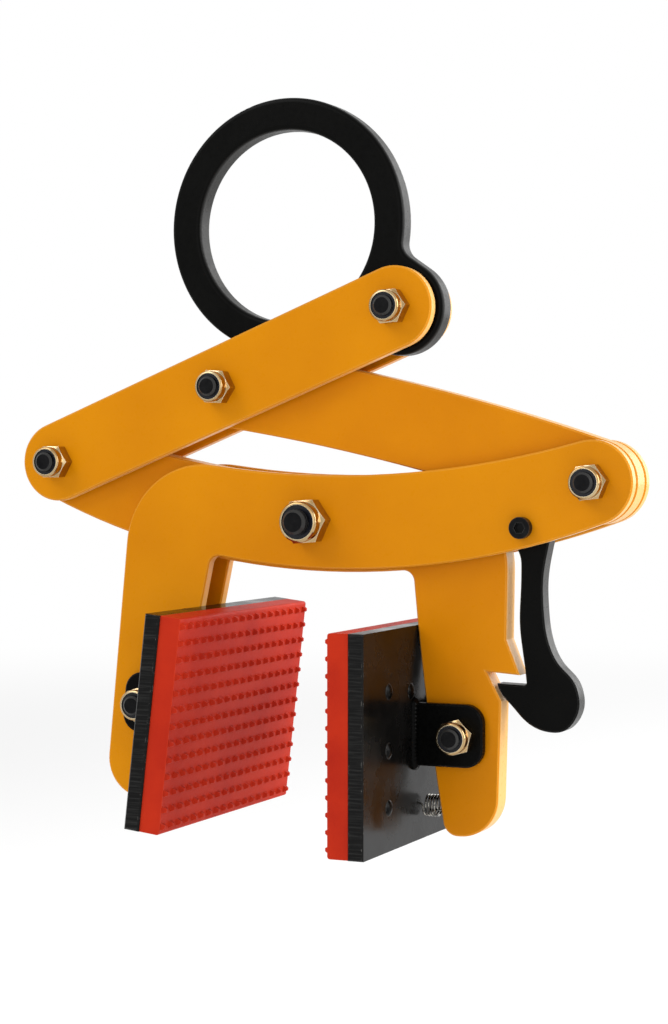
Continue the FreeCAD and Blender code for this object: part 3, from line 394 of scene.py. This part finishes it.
def rolled_thread():
    """A node tree that winds a rounded ridge forwards from each point: the crest of a bolt's thread."""
    group = bpy.data.node_groups.new("rolled_thread", "GeometryNodeTree")
    group.interface.new_socket("Starts", in_out="INPUT", socket_type="NodeSocketGeometry")
    for title in ("Radius", "Pitch", "Length", "Crest"):
        group.interface.new_socket(title, in_out="INPUT", socket_type="NodeSocketFloat")
    group.interface.new_socket("Finish", in_out="INPUT", socket_type="NodeSocketMaterial")
    group.interface.new_socket("Thread", in_out="OUTPUT", socket_type="NodeSocketGeometry")
    add = group.nodes.new
    given, result = add("NodeGroupInput"), add("NodeGroupOutput")
    turns = add("ShaderNodeMath")
    turns.operation = "DIVIDE"
    helix = add("GeometryNodeCurveSpiral")
    helix.inputs["Resolution"].default_value = THREAD_STEPS
    section = add("GeometryNodeCurvePrimitiveCircle")
    section.inputs["Resolution"].default_value = CREST_SIDES
    ridge = add("GeometryNodeCurveToMesh")
    ridge.inputs["Fill Caps"].default_value = True
    smooth = add("GeometryNodeSetShadeSmooth")
    spots = add("GeometryNodeInstanceOnPoints")
    spots.inputs["Rotation"].default_value = (math.pi / 2, 0.0, 0.0)
    real = add("GeometryNodeRealizeInstances")
    dress = add("GeometryNodeSetMaterial")
    link = group.links.new
    link(given.outputs["Length"], turns.inputs[0])
    link(given.outputs["Pitch"], turns.inputs[1])
    link(turns.outputs[0], helix.inputs["Rotations"])
    link(given.outputs["Radius"], helix.inputs["Start Radius"])
    link(given.outputs["Radius"], helix.inputs["End Radius"])
    link(given.outputs["Length"], helix.inputs["Height"])
    link(given.outputs["Crest"], section.inputs["Radius"])
    link(helix.outputs["Curve"], ridge.inputs["Curve"])
    link(section.outputs["Curve"], ridge.inputs["Profile Curve"])
    link(ridge.outputs["Mesh"], smooth.inputs["Geometry"])
    link(given.outputs["Starts"], spots.inputs["Points"])
    link(smooth.outputs["Geometry"], spots.inputs["Instance"])
    link(spots.outputs["Instances"], real.inputs["Geometry"])
    link(real.outputs["Geometry"], dress.inputs["Geometry"])
    link(given.outputs["Finish"], dress.inputs["Material"])
    link(dress.outputs["Geometry"], result.inputs["Thread"])
    return group


def grown(name, start, group, values):
    """Runs a node tree on a mesh and gives a piece whose plain mesh is the result."""
    source = bpy.data.objects.new(name + "_source", start)
    bpy.context.scene.collection.objects.link(source)
    maker = source.modifiers.new("maker", "NODES")
    maker.node_group = group
    ids = {item.name: item.identifier for item in group.interface.items_tree if item.in_out == "INPUT"}
    for title, value in values.items():
        maker[ids[title]] = value
    view = bpy.context.evaluated_depsgraph_get()
    made = bpy.data.meshes.new_from_object(source.evaluated_get(view), depsgraph=view)
    made.name = name
    source.modifiers.remove(maker)
    bpy.data.objects.remove(source)
    piece = bpy.data.objects.new(name, made)
    bpy.context.scene.collection.objects.link(piece)
    return piece


bolt_steel = bolt_black()
for bolt_name in ("upper_link_bolts", "main_pivot_bolt", "arm_end_bolt", "right_pad_bolt", "left_pad_bolt",
                  "hook_screw"):
    finish_node(bolt_name, bolt_steel)

SMALL_BOLT, MAIN_BOLT = (0.004, 0.00125), (0.005, 0.0015)
TIP_SHARE = 0.2
CREST_RADIUS, CREST_SUNK = 0.0003, 0.0001
joints = {joint["name"]: Vector(joint["pos_m"]) for joint in frame["joints"]}
link_middle = (joints["ring_swing"] + joints["right_jaw_turn"]) / 2
link_pivots = [joints["ring_swing"], link_middle, joints["right_jaw_turn"]]
thread_tree = rolled_thread()
for bolt_name, ring_name, body_name, pivots, (bolt_radius, pitch) in (
        ("upper_link_bolts", "upper_link_nylon_rings", "upper_link", link_pivots, SMALL_BOLT),
        ("main_pivot_bolt", "main_pivot_nylon_ring", "left_jaw", [joints["jaw_close"]], MAIN_BOLT),
        ("arm_end_bolt", "arm_end_nylon_ring", "left_jaw", [joints["diagonal_turn"]], SMALL_BOLT),
        ("right_pad_bolt", "right_pad_nylon_ring", "right_pad", [joints["right_pad_tilt"]], SMALL_BOLT),
        ("left_pad_bolt", "left_pad_nylon_ring", "left_pad", [joints["left_pad_tilt"]], SMALL_BOLT)):
    first_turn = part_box(ring_name)[0].y
    last_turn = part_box(bolt_name)[0].y + bolt_radius * TIP_SHARE + CREST_RADIUS
    starts = bpy.data.meshes.new(bolt_name + "_starts")
    starts.from_pydata([(pivot.x, first_turn, pivot.z) for pivot in pivots], [], [])
    thread = grown(bolt_name + "_thread", starts, thread_tree, {
        "Radius": bolt_radius - CREST_SUNK, "Pitch": pitch, "Length": first_turn - last_turn,
        "Crest": CREST_RADIUS, "Finish": bolt_steel})
    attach(thread, body_name)


# Lock nuts, washers and spacers
# Hex nuts with a rolled collar, plated in yellow zinc: gold over silver, with edges painted bright, partly as
# rubbed plating and partly as a painted highlight, and the faint scratches of a spanner. The thrust washers
# and spacers have the same plating.
ZINC_GOLD = (0.36, 0.22, 0.085)
ZINC_SILVER = (0.47, 0.36, 0.2)
ZINC_BRIGHT = (0.95, 0.88, 0.68)


def yellow_zinc():
    """Plating that shifts from gold to silver, painted bright along its edges as rubbed plating and a painted
    highlight, and faintly scratched.
    """
    material, node_tree, shader, place = start_material("yellow_zinc")
    tint = spread(node_tree, cloud(node_tree, place, scale=110.0, detail=3.0), 0.35, 0.68, 0.0, 1.0)
    scratch = cloud(node_tree, place, scale=420.0, detail=3.0, roughness=0.5, stretch=(1.0, 0.2, 1.0))
    # The bright edge colour is partly rubbed plating and partly a painted highlight.
    rub_and_highlight = edges(node_tree, radius=0.0005, low=0.03, high=0.3)
    ground = mixed(node_tree, tint, ZINC_GOLD, ZINC_SILVER)
    node_tree.links.new(mixed(node_tree, rub_and_highlight, ground, ZINC_BRIGHT), shader.inputs["Base Color"])
    shader.inputs["Metallic"].default_value = 1.0
    node_tree.links.new(spread(node_tree, scratch, 0.3, 0.75, 0.12, 0.24), shader.inputs["Roughness"])
    relief(node_tree, shader, scratch, distance=0.0001, strength=0.03)
    return material


zinc = yellow_zinc()
for zinc_name in ("upper_link_nuts", "main_pivot_nut", "arm_end_nut", "right_pad_nut", "left_pad_nut",
                  "hook_nut", "upper_link_washers", "main_pivot_washers", "arm_end_washers", "hook_spacers",
                  "left_leg_tube"):
    finish_node(zinc_name, zinc)


# Nylon rings
# A ring of black nylon in the collar of each lock nut, cut into by the bolt's thread, which is what locks
# the nut. Smooth moulded plastic, its black painted bluer in random patches as a painted sheen.
NYLON_BLACK = (0.003, 0.0035, 0.006)
NYLON_PAINTED_SHEEN = (0.005, 0.006, 0.012)
nylon, tree, shader, place = start_material("black_nylon")
tone = cloud(tree, place, scale=300.0, detail=3.0)
tone_share = spread(tree, tone, 0.35, 0.7, 0.0, 1.0)
# The bluer patches are a painted sheen.
tree.links.new(mixed(tree, tone_share, NYLON_BLACK, NYLON_PAINTED_SHEEN), shader.inputs["Base Color"])
shader.inputs["Specular IOR Level"].default_value = 0.25
tree.links.new(spread(tree, tone, 0.3, 0.7, 0.22, 0.34), shader.inputs["Roughness"])
relief(tree, shader, cloud(tree, place, scale=900.0, detail=2.0), distance=0.00008, strength=0.08)
for ring_name in ("upper_link_nylon_rings", "main_pivot_nylon_ring", "arm_end_nylon_ring",
                  "right_pad_nylon_ring", "left_pad_nylon_ring", "hook_nylon_ring"):
    finish_node(ring_name, nylon)


# Latch
# The hook that holds the jaws open, cut from 8 mm plate and painted black like the ring. The grip's edge is
# polished grey by hands.
# The hook's wall colour is a painted reflection: its cut walls are painted paler grey than its faces.
HOOK_WALL_REFLECTION = (0.05, 0.05, 0.049)
HOOK_WORN = (0.07, 0.07, 0.069)
finish_node("hook_lever", black_paint("black_hook_paint", RING_BLACK, HOOK_WALL_REFLECTION, HOOK_WORN, 0.3))


# Pad plates, ears and rivets
# Steel backing of each pad with two ears welded to it and domed rivets that hold the rubber. Cut by flame,
# so that the edges have fine furrows across them, then painted gloss black; the corners are chipped.
PLATE_BLACK, PLATE_SHEEN = (0.002, 0.0019, 0.0018), (0.005, 0.0047, 0.0044)
FURROW_BLACK, FURROW_GREY = (0.0012, 0.0012, 0.0012), (0.026, 0.026, 0.025)
CHIP_GREY = (0.34, 0.33, 0.31)
FURROW_ROUGH, PAINT_SHARE = 0.5, 0.1
EAR_BLACK, EAR_WORN = (0.0013, 0.0013, 0.0012), (0.06, 0.058, 0.055)


def pad_black():
    """Gloss black on the plate's faces, rough furrowed black on its cut ends, chips along the corners."""
    material, node_tree, shader, place = start_material("black_pad_paint")
    patches = cloud(node_tree, place, scale=60.0, detail=6.0)
    cut_edge = spread(node_tree, facing_front(node_tree), 0.6, 0.95, 0.0, 1.0)
    furrow = cloud(node_tree, place, scale=300.0, detail=5.0, roughness=0.65, stretch=(0.12, 1.0, 4.0))
    flakes = cloud(node_tree, place, scale=430.0, detail=4.0, roughness=0.7)
    chip = spread(node_tree, flakes, 0.56, 0.64, 0.0, 1.0)
    bare = product(node_tree, edges(node_tree, radius=0.0007, low=0.02, high=0.3), chip)
    face = mixed(node_tree, spread(node_tree, patches, 0.35, 0.7, 0.0, 1.0), PLATE_BLACK, PLATE_SHEEN)
    side = mixed(node_tree, spread(node_tree, furrow, 0.48, 0.72, 0.0, 1.0), FURROW_BLACK, FURROW_GREY)
    ground = mixed(node_tree, cut_edge, face, side)
    node_tree.links.new(mixed(node_tree, bare, ground, CHIP_GREY), shader.inputs["Base Color"])
    gloss = node_tree.nodes.new("ShaderNodeMix")
    gloss.data_type = "FLOAT"
    node_tree.links.new(cut_edge, gloss.inputs[0])
    node_tree.links.new(spread(node_tree, patches, 0.3, 0.7, 0.16, 0.34), gloss.inputs[2])
    gloss.inputs[3].default_value = FURROW_ROUGH
    node_tree.links.new(gloss.outputs[0], shader.inputs["Roughness"])
    shader.inputs["Specular IOR Level"].default_value = 0.11
    skin = node_tree.nodes.new("ShaderNodeMath")
    skin.operation = "MULTIPLY_ADD"
    skin.inputs[1].default_value = PAINT_SHARE
    node_tree.links.new(cloud(node_tree, place, scale=240.0, detail=3.0), skin.inputs[0])
    node_tree.links.new(product(node_tree, furrow, cut_edge), skin.inputs[2])
    relief(node_tree, shader, skin.outputs[0], distance=0.0004, strength=0.5)
    return material


pad_paint = pad_black()
ear_paint = black_paint("black_ear_paint", EAR_BLACK, EAR_BLACK, EAR_WORN, 0.27)
for side in ("right", "left"):
    finish_node(side + "_pad_plate", pad_paint)
    finish_node(side + "_pad_ears", ear_paint)
    finish_node(side + "_pad_rivets", ear_paint)


# Ear welds
# A fillet weld round the outside of each ear's root, laid by hand, so that it shows a row of ripples. It is
# sprayed black with the plate and the ears.
WELD_RADIUS = 0.0021
WELD_CORNER = 0.0014
RIPPLE_PITCH, RIPPLE_DEPTH = 0.0016, 0.05
WELD_STEP = 0.0002
WELD_START = 0.0022
PLATE_BACK = 0.0195
EAR_HALF, EAR_THICK = 0.0125, 0.004
CORNER_STEPS, BEAD_SIDES = 5, 14


def rippled_bead():
    """A node tree that turns a line of edges into a closed bead with ripples along it."""
    group = bpy.data.node_groups.new("rippled_bead", "GeometryNodeTree")
    group.interface.new_socket("Line", in_out="INPUT", socket_type="NodeSocketGeometry")
    for title in ("Radius", "Corner", "Step", "Pitch", "Depth"):
        group.interface.new_socket(title, in_out="INPUT", socket_type="NodeSocketFloat")
    group.interface.new_socket("Finish", in_out="INPUT", socket_type="NodeSocketMaterial")
    group.interface.new_socket("Bead", in_out="OUTPUT", socket_type="NodeSocketGeometry")
    add = group.nodes.new
    given, result = add("NodeGroupInput"), add("NodeGroupOutput")
    run = add("GeometryNodeMeshToCurve")
    bend = add("GeometryNodeFilletCurve")
    bend.mode = "POLY"
    bend.inputs["Count"].default_value = CORNER_STEPS
    fine = add("GeometryNodeResampleCurve")
    fine.mode = "LENGTH"
    along = add("GeometryNodeSplineParameter")
    turn = add("ShaderNodeMath")
    turn.operation = "DIVIDE"
    angle = add("ShaderNodeMath")
    angle.operation = "MULTIPLY"
    angle.inputs[1].default_value = 2 * math.pi
    wave = add("ShaderNodeMath")
    wave.operation = "SINE"
    swell = add("ShaderNodeMath")
    swell.operation = "MULTIPLY_ADD"
    swell.inputs[2].default_value = 1.0
    section = add("GeometryNodeCurvePrimitiveCircle")
    section.inputs["Resolution"].default_value = BEAD_SIDES
    bead = add("GeometryNodeCurveToMesh")
    bead.inputs["Fill Caps"].default_value = True
    smooth = add("GeometryNodeSetShadeSmooth")
    real = add("GeometryNodeRealizeInstances")
    dress = add("GeometryNodeSetMaterial")
    link = group.links.new
    link(given.outputs["Line"], run.inputs["Mesh"])
    link(run.outputs["Curve"], bend.inputs["Curve"])
    link(given.outputs["Corner"], bend.inputs["Radius"])
    link(bend.outputs["Curve"], fine.inputs["Curve"])
    link(given.outputs["Step"], fine.inputs["Length"])
    link(along.outputs["Length"], turn.inputs[0])
    link(given.outputs["Pitch"], turn.inputs[1])
    link(turn.outputs[0], angle.inputs[0])
    link(angle.outputs[0], wave.inputs[0])
    link(wave.outputs[0], swell.inputs[0])
    link(given.outputs["Depth"], swell.inputs[1])
    link(given.outputs["Radius"], section.inputs["Radius"])
    link(fine.outputs["Curve"], bead.inputs["Curve"])
    link(section.outputs["Curve"], bead.inputs["Profile Curve"])
    link(swell.outputs[0], bead.inputs["Scale"])
    link(bead.outputs["Mesh"], smooth.inputs["Geometry"])
    link(smooth.outputs["Geometry"], real.inputs["Geometry"])
    link(real.outputs["Geometry"], dress.inputs["Geometry"])
    link(given.outputs["Finish"], dress.inputs["Material"])
    link(dress.outputs["Geometry"], result.inputs["Bead"])
    return group


def pad_ways(side):
    """The way out of a pad's gripping face, the way up along it, and the middle of the face."""
    face = next(mount for mount in frame["record"]["mounts"] if mount["name"] == side + "_grip_face")
    out = Vector(face["axis"]).normalized()
    up = Vector((-out.z, 0.0, out.x)) if out.x > 0 else Vector((out.z, 0.0, -out.x))
    return out, up, Vector(face["pos_m"])


bead_tree = rippled_bead()
for side in ("right", "left"):
    out, up, face_middle = pad_ways(side)
    root = joints[side + "_pad_tilt"] + out * PLATE_BACK
    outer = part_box(side + "_pad_ears")[1].y
    corners, runs = [], []
    for front in (-1.0, 1.0):
        first = len(corners)
        inside, outside = front * (outer - EAR_THICK + WELD_START), front * outer
        for across, rise in ((inside, 1.0), (outside, 1.0), (outside, -1.0), (inside, -1.0)):
            corners.append(root + up * rise * EAR_HALF + Vector((0.0, across, 0.0)))
        runs += [(first, first + 1), (first + 1, first + 2), (first + 2, first + 3)]
    line = bpy.data.meshes.new(side + "_weld_line")
    line.from_pydata(corners, runs, [])
    weld = grown(side + "_ear_welds", line, bead_tree, {
        "Radius": WELD_RADIUS, "Corner": WELD_CORNER, "Step": WELD_STEP, "Pitch": RIPPLE_PITCH,
        "Depth": RIPPLE_DEPTH, "Finish": ear_paint})
    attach(weld, side + "_pad")


# Rubber facings
# Hard red rubber moulded with a field of small blunt teeth that bite on the load, riveted to each pad
# plate. The block has soft moulded edges, and the teeth are dulled at their tips.
RUBBER_THICK, TOOTH_RISE = 0.0104, 0.0016
RUBBER_LONG, RUBBER_HIGH = 0.120, 0.0864
RUBBER_EDGE, EDGE_STEPS = 0.0011, 4
TOOTH_ROWS, TOOTH_COLUMNS = 13, 18
TOOTH_FOOT, TOOTH_TIP = 0.0028, 0.0012
RUBBER_RED = (0.36, 0.0135, 0.0042)
RUBBER_ORANGE = (0.51, 0.0275, 0.006)
RUBBER_WORN_AND_HIGHLIGHT = (0.58, 0.065, 0.024)


def red_rubber():
    """Moulded rubber in two reds with a fine grain, painted paler along its edges, partly as rubbed wear and
    partly as a painted highlight.
    """
    material, node_tree, shader, place = start_material("red_rubber")
    patches = spread(node_tree, cloud(node_tree, place, scale=28.0, detail=5.0), 0.3, 0.7, 0.0, 1.0)
    grain = cloud(node_tree, place, scale=1100.0, detail=3.0)
    # The paler edge colour is partly rubbed wear and partly a painted highlight.
    rim = product(node_tree, edges(node_tree, radius=0.0008, low=0.02, high=0.35), 0.4)
    ground = mixed(node_tree, patches, RUBBER_RED, RUBBER_ORANGE)
    node_tree.links.new(mixed(node_tree, rim, ground, RUBBER_WORN_AND_HIGHLIGHT), shader.inputs["Base Color"])
    node_tree.links.new(spread(node_tree, grain, 0.3, 0.7, 0.42, 0.58), shader.inputs["Roughness"])
    shader.inputs["Specular IOR Level"].default_value = 0.08
    relief(node_tree, shader, grain, distance=0.0001, strength=0.2)
    return material


def raised_teeth():
    """A node tree that pulls each face marked as a foot up into a blunt tooth."""
    group = bpy.data.node_groups.new("raised_teeth", "GeometryNodeTree")
    group.interface.new_socket("Block", in_out="INPUT", socket_type="NodeSocketGeometry")
    for title in ("Rise", "Tip Share"):
        group.interface.new_socket(title, in_out="INPUT", socket_type="NodeSocketFloat")
    group.interface.new_socket("Finish", in_out="INPUT", socket_type="NodeSocketMaterial")
    group.interface.new_socket("Facing", in_out="OUTPUT", socket_type="NodeSocketGeometry")
    add = group.nodes.new
    given, result = add("NodeGroupInput"), add("NodeGroupOutput")
    feet = add("GeometryNodeInputNamedAttribute")
    feet.data_type = "INT"
    feet.inputs["Name"].default_value = "foot"
    pull = add("GeometryNodeExtrudeMesh")
    pull.mode = "FACES"
    pull.inputs["Individual"].default_value = True
    taper = add("GeometryNodeScaleElements")
    taper.domain = "FACE"
    real = add("GeometryNodeRealizeInstances")
    dress = add("GeometryNodeSetMaterial")
    link = group.links.new
    link(given.outputs["Block"], pull.inputs["Mesh"])
    link(feet.outputs["Attribute"], pull.inputs["Selection"])
    link(given.outputs["Rise"], pull.inputs["Offset Scale"])
    link(pull.outputs["Mesh"], taper.inputs["Geometry"])
    link(pull.outputs["Top"], taper.inputs["Selection"])
    link(given.outputs["Tip Share"], taper.inputs["Scale"])
    link(taper.outputs["Geometry"], real.inputs["Geometry"])
    link(real.outputs["Geometry"], dress.inputs["Geometry"])
    link(given.outputs["Finish"], dress.inputs["Material"])
    link(dress.outputs["Geometry"], result.inputs["Facing"])
    return group


def foot_lines(length, count):
    """Where the grid is cut along one side: its rounded ends and both sides of each tooth's foot."""
    lines = [RUBBER_EDGE - length / 2]
    for tooth in range(count):
        middle = length * ((tooth + 0.5) / count - 0.5)
        lines += [middle - TOOTH_FOOT / 2, middle + TOOTH_FOOT / 2]
    return lines + [length / 2 - RUBBER_EDGE]


def facing_block(name):
    """The facing without its teeth, lying under the XY plane: a cut grid on top, rounded round its rim."""
    bm = bmesh.new()
    foot = bm.faces.layers.int.new("foot")
    rows, columns = foot_lines(RUBBER_HIGH, TOOTH_ROWS), foot_lines(RUBBER_LONG, TOOTH_COLUMNS)
    top = [[bm.verts.new((x, y, -TOOTH_RISE)) for y in columns] for x in rows]
    for row in range(len(rows) - 1):
        for column in range(len(columns) - 1):
            quad = bm.faces.new((top[row][column], top[row + 1][column],
                                 top[row + 1][column + 1], top[row][column + 1]))
            quad[foot] = row % 2 * (column % 2)
    rim = [top[row][0] for row in range(len(rows))]
    rim += [top[-1][column] for column in range(1, len(columns))]
    rim += [top[row][-1] for row in range(len(rows) - 2, -1, -1)]
    rim += [top[0][column] for column in range(len(columns) - 2, 0, -1)]
    flat = [vert.co.copy() for vert in rim]
    wall = []
    for step in range(1, EDGE_STEPS + 1):
        angle = math.pi / 2 * step / EDGE_STEPS
        wall.append((RUBBER_EDGE * math.sin(angle), RUBBER_EDGE * (1 - math.cos(angle))))
    wall.append((RUBBER_EDGE, RUBBER_THICK - TOOTH_RISE))
    above = rim
    for outset, drop in wall:
        below = []
        for spot in flat:
            x = spot.x + (outset if spot.x >= rows[-1] else -outset if spot.x <= rows[0] else 0.0)
            y = spot.y + (outset if spot.y >= columns[-1] else -outset if spot.y <= columns[0] else 0.0)
            below.append(bm.verts.new((x, y, spot.z - drop)))
        for index in range(len(rim)):
            after = (index + 1) % len(rim)
            bm.faces.new((above[index], below[index], below[after], above[after]))
        above = below
    bm.faces.new(above[::-1])
    bmesh.ops.recalc_face_normals(bm, faces=bm.faces[:])
    block = bpy.data.meshes.new(name)
    bm.to_mesh(block)
    bm.free()
    return block


rubber = red_rubber()
teeth_tree = raised_teeth()
for side in ("right", "left"):
    out, up, face_middle = pad_ways(side)
    facing = grown(side + "_rubber_facing", facing_block(side + "_block"), teeth_tree, {
        "Rise": TOOTH_RISE, "Tip Share": TOOTH_TIP / TOOTH_FOOT, "Finish": rubber})
    stand = Matrix.Identity(4)
    for column, way in enumerate((up, out.cross(up), out, face_middle)):
        stand.col[column][:3] = way
    facing.data.transform(stand)
    if stand.to_3x3().determinant() < 0:
        facing.data.flip_normals()
    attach(facing, side + "_pad")
    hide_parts(side + "_pad_rubber")


# Pad springs
# A small open-coiled compression spring at the foot of each pad, between its plate and the leg, which
# swings the pad back. Bright oiled wire, its two ends bent out into the plate and the leg.
WIRE = 0.00085
COIL_RADIUS = 0.0041
COIL_TURNS = 5
STEPS_PER_TURN = 28
WIRE_SIDES = 12
SPRING_LOW = 0.0294
SPRING_NEAR, SPRING_FAR = 0.0194, 0.00939
END_BEND = 0.0011
BEND_STEPS = 8
WIRE_DARK, WIRE_BRIGHT = (0.04, 0.038, 0.034), (0.34, 0.325, 0.29)


def spring_wire_steel():
    """Wire under oil, dark and bright in short patches."""
    material, node_tree, shader, place = start_material("oiled_spring_wire")
    tone = cloud(node_tree, place, scale=620.0, detail=4.0)
    share = spread(node_tree, tone, 0.42, 0.62, 0.0, 1.0)
    node_tree.links.new(mixed(node_tree, share, WIRE_DARK, WIRE_BRIGHT), shader.inputs["Base Color"])
    shader.inputs["Metallic"].default_value = 1.0
    node_tree.links.new(spread(node_tree, tone, 0.3, 0.7, 0.15, 0.26), shader.inputs["Roughness"])
    drawn = cloud(node_tree, place, scale=1800.0, detail=2.0)
    relief(node_tree, shader, drawn, distance=0.00006, strength=0.1)
    return material


def spring_line(start, axis, length, outward):
    """Points along the wire: a straight end, a bend, the coils, a bend and a straight end."""
    down = axis.cross(outward)
    lead = WIRE + END_BEND
    coil = length - 2 * lead
    ends = []

    def on_coil(share):
        """A point of the coils, by its share of their length."""
        angle = 2 * math.pi * COIL_TURNS * share
        radial = outward * math.cos(angle) + down * math.sin(angle)
        return start + axis * (lead + coil * share) + radial * COIL_RADIUS

    for end, sign in ((on_coil(0.0), -1), (on_coil(1.0), 1)):
        run = [end + down * sign * END_BEND + axis * sign * (END_BEND + WIRE)]
        centre = end + axis * sign * END_BEND
        for step in range(BEND_STEPS):
            angle = math.pi / 2 * step / BEND_STEPS
            run.append(centre + (down * math.cos(angle) - axis * math.sin(angle)) * sign * END_BEND)
        ends.append(run)
    count = COIL_TURNS * STEPS_PER_TURN
    coils = [on_coil(step / count) for step in range(count + 1)]
    return ends[0] + coils + ends[1][::-1]


def drawn_wire():
    """A node tree that turns a line of edges into round wire with closed ends."""
    group = bpy.data.node_groups.new("drawn_wire", "GeometryNodeTree")
    group.interface.new_socket("Line", in_out="INPUT", socket_type="NodeSocketGeometry")
    group.interface.new_socket("Radius", in_out="INPUT", socket_type="NodeSocketFloat")
    group.interface.new_socket("Finish", in_out="INPUT", socket_type="NodeSocketMaterial")
    group.interface.new_socket("Wire", in_out="OUTPUT", socket_type="NodeSocketGeometry")
    add = group.nodes.new
    given, result = add("NodeGroupInput"), add("NodeGroupOutput")
    run = add("GeometryNodeMeshToCurve")
    section = add("GeometryNodeCurvePrimitiveCircle")
    section.inputs["Resolution"].default_value = WIRE_SIDES
    tube = add("GeometryNodeCurveToMesh")
    tube.inputs["Fill Caps"].default_value = True
    smooth = add("GeometryNodeSetShadeSmooth")
    real = add("GeometryNodeRealizeInstances")
    dress = add("GeometryNodeSetMaterial")
    link = group.links.new
    link(given.outputs["Line"], run.inputs["Mesh"])
    link(given.outputs["Radius"], section.inputs["Radius"])
    link(run.outputs["Curve"], tube.inputs["Curve"])
    link(section.outputs["Curve"], tube.inputs["Profile Curve"])
    link(tube.outputs["Mesh"], smooth.inputs["Geometry"])
    link(smooth.outputs["Geometry"], real.inputs["Geometry"])
    link(real.outputs["Geometry"], dress.inputs["Geometry"])
    link(given.outputs["Finish"], dress.inputs["Material"])
    link(dress.outputs["Geometry"], result.inputs["Wire"])
    return group


wire_steel = spring_wire_steel()
wire_tree = drawn_wire()
for side in ("right", "left"):
    out, up, face_middle = pad_ways(side)
    seat = joints[side + "_pad_tilt"] + out * SPRING_NEAR - up * SPRING_LOW
    outward = Vector((0.0, math.copysign(1.0, out.x), 0.0))
    spots = spring_line(seat, -out, SPRING_NEAR - SPRING_FAR, outward)
    line = bpy.data.meshes.new(side + "_spring_line")
    line.from_pydata(spots, [(index, index + 1) for index in range(len(spots) - 1)], [])
    coil = grown(side + "_pad_coil", line, wire_tree, {"Radius": WIRE / 2, "Finish": wire_steel})
    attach(coil, side + "_pad")
    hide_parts(side + "_pad_spring")
    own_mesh(coil)
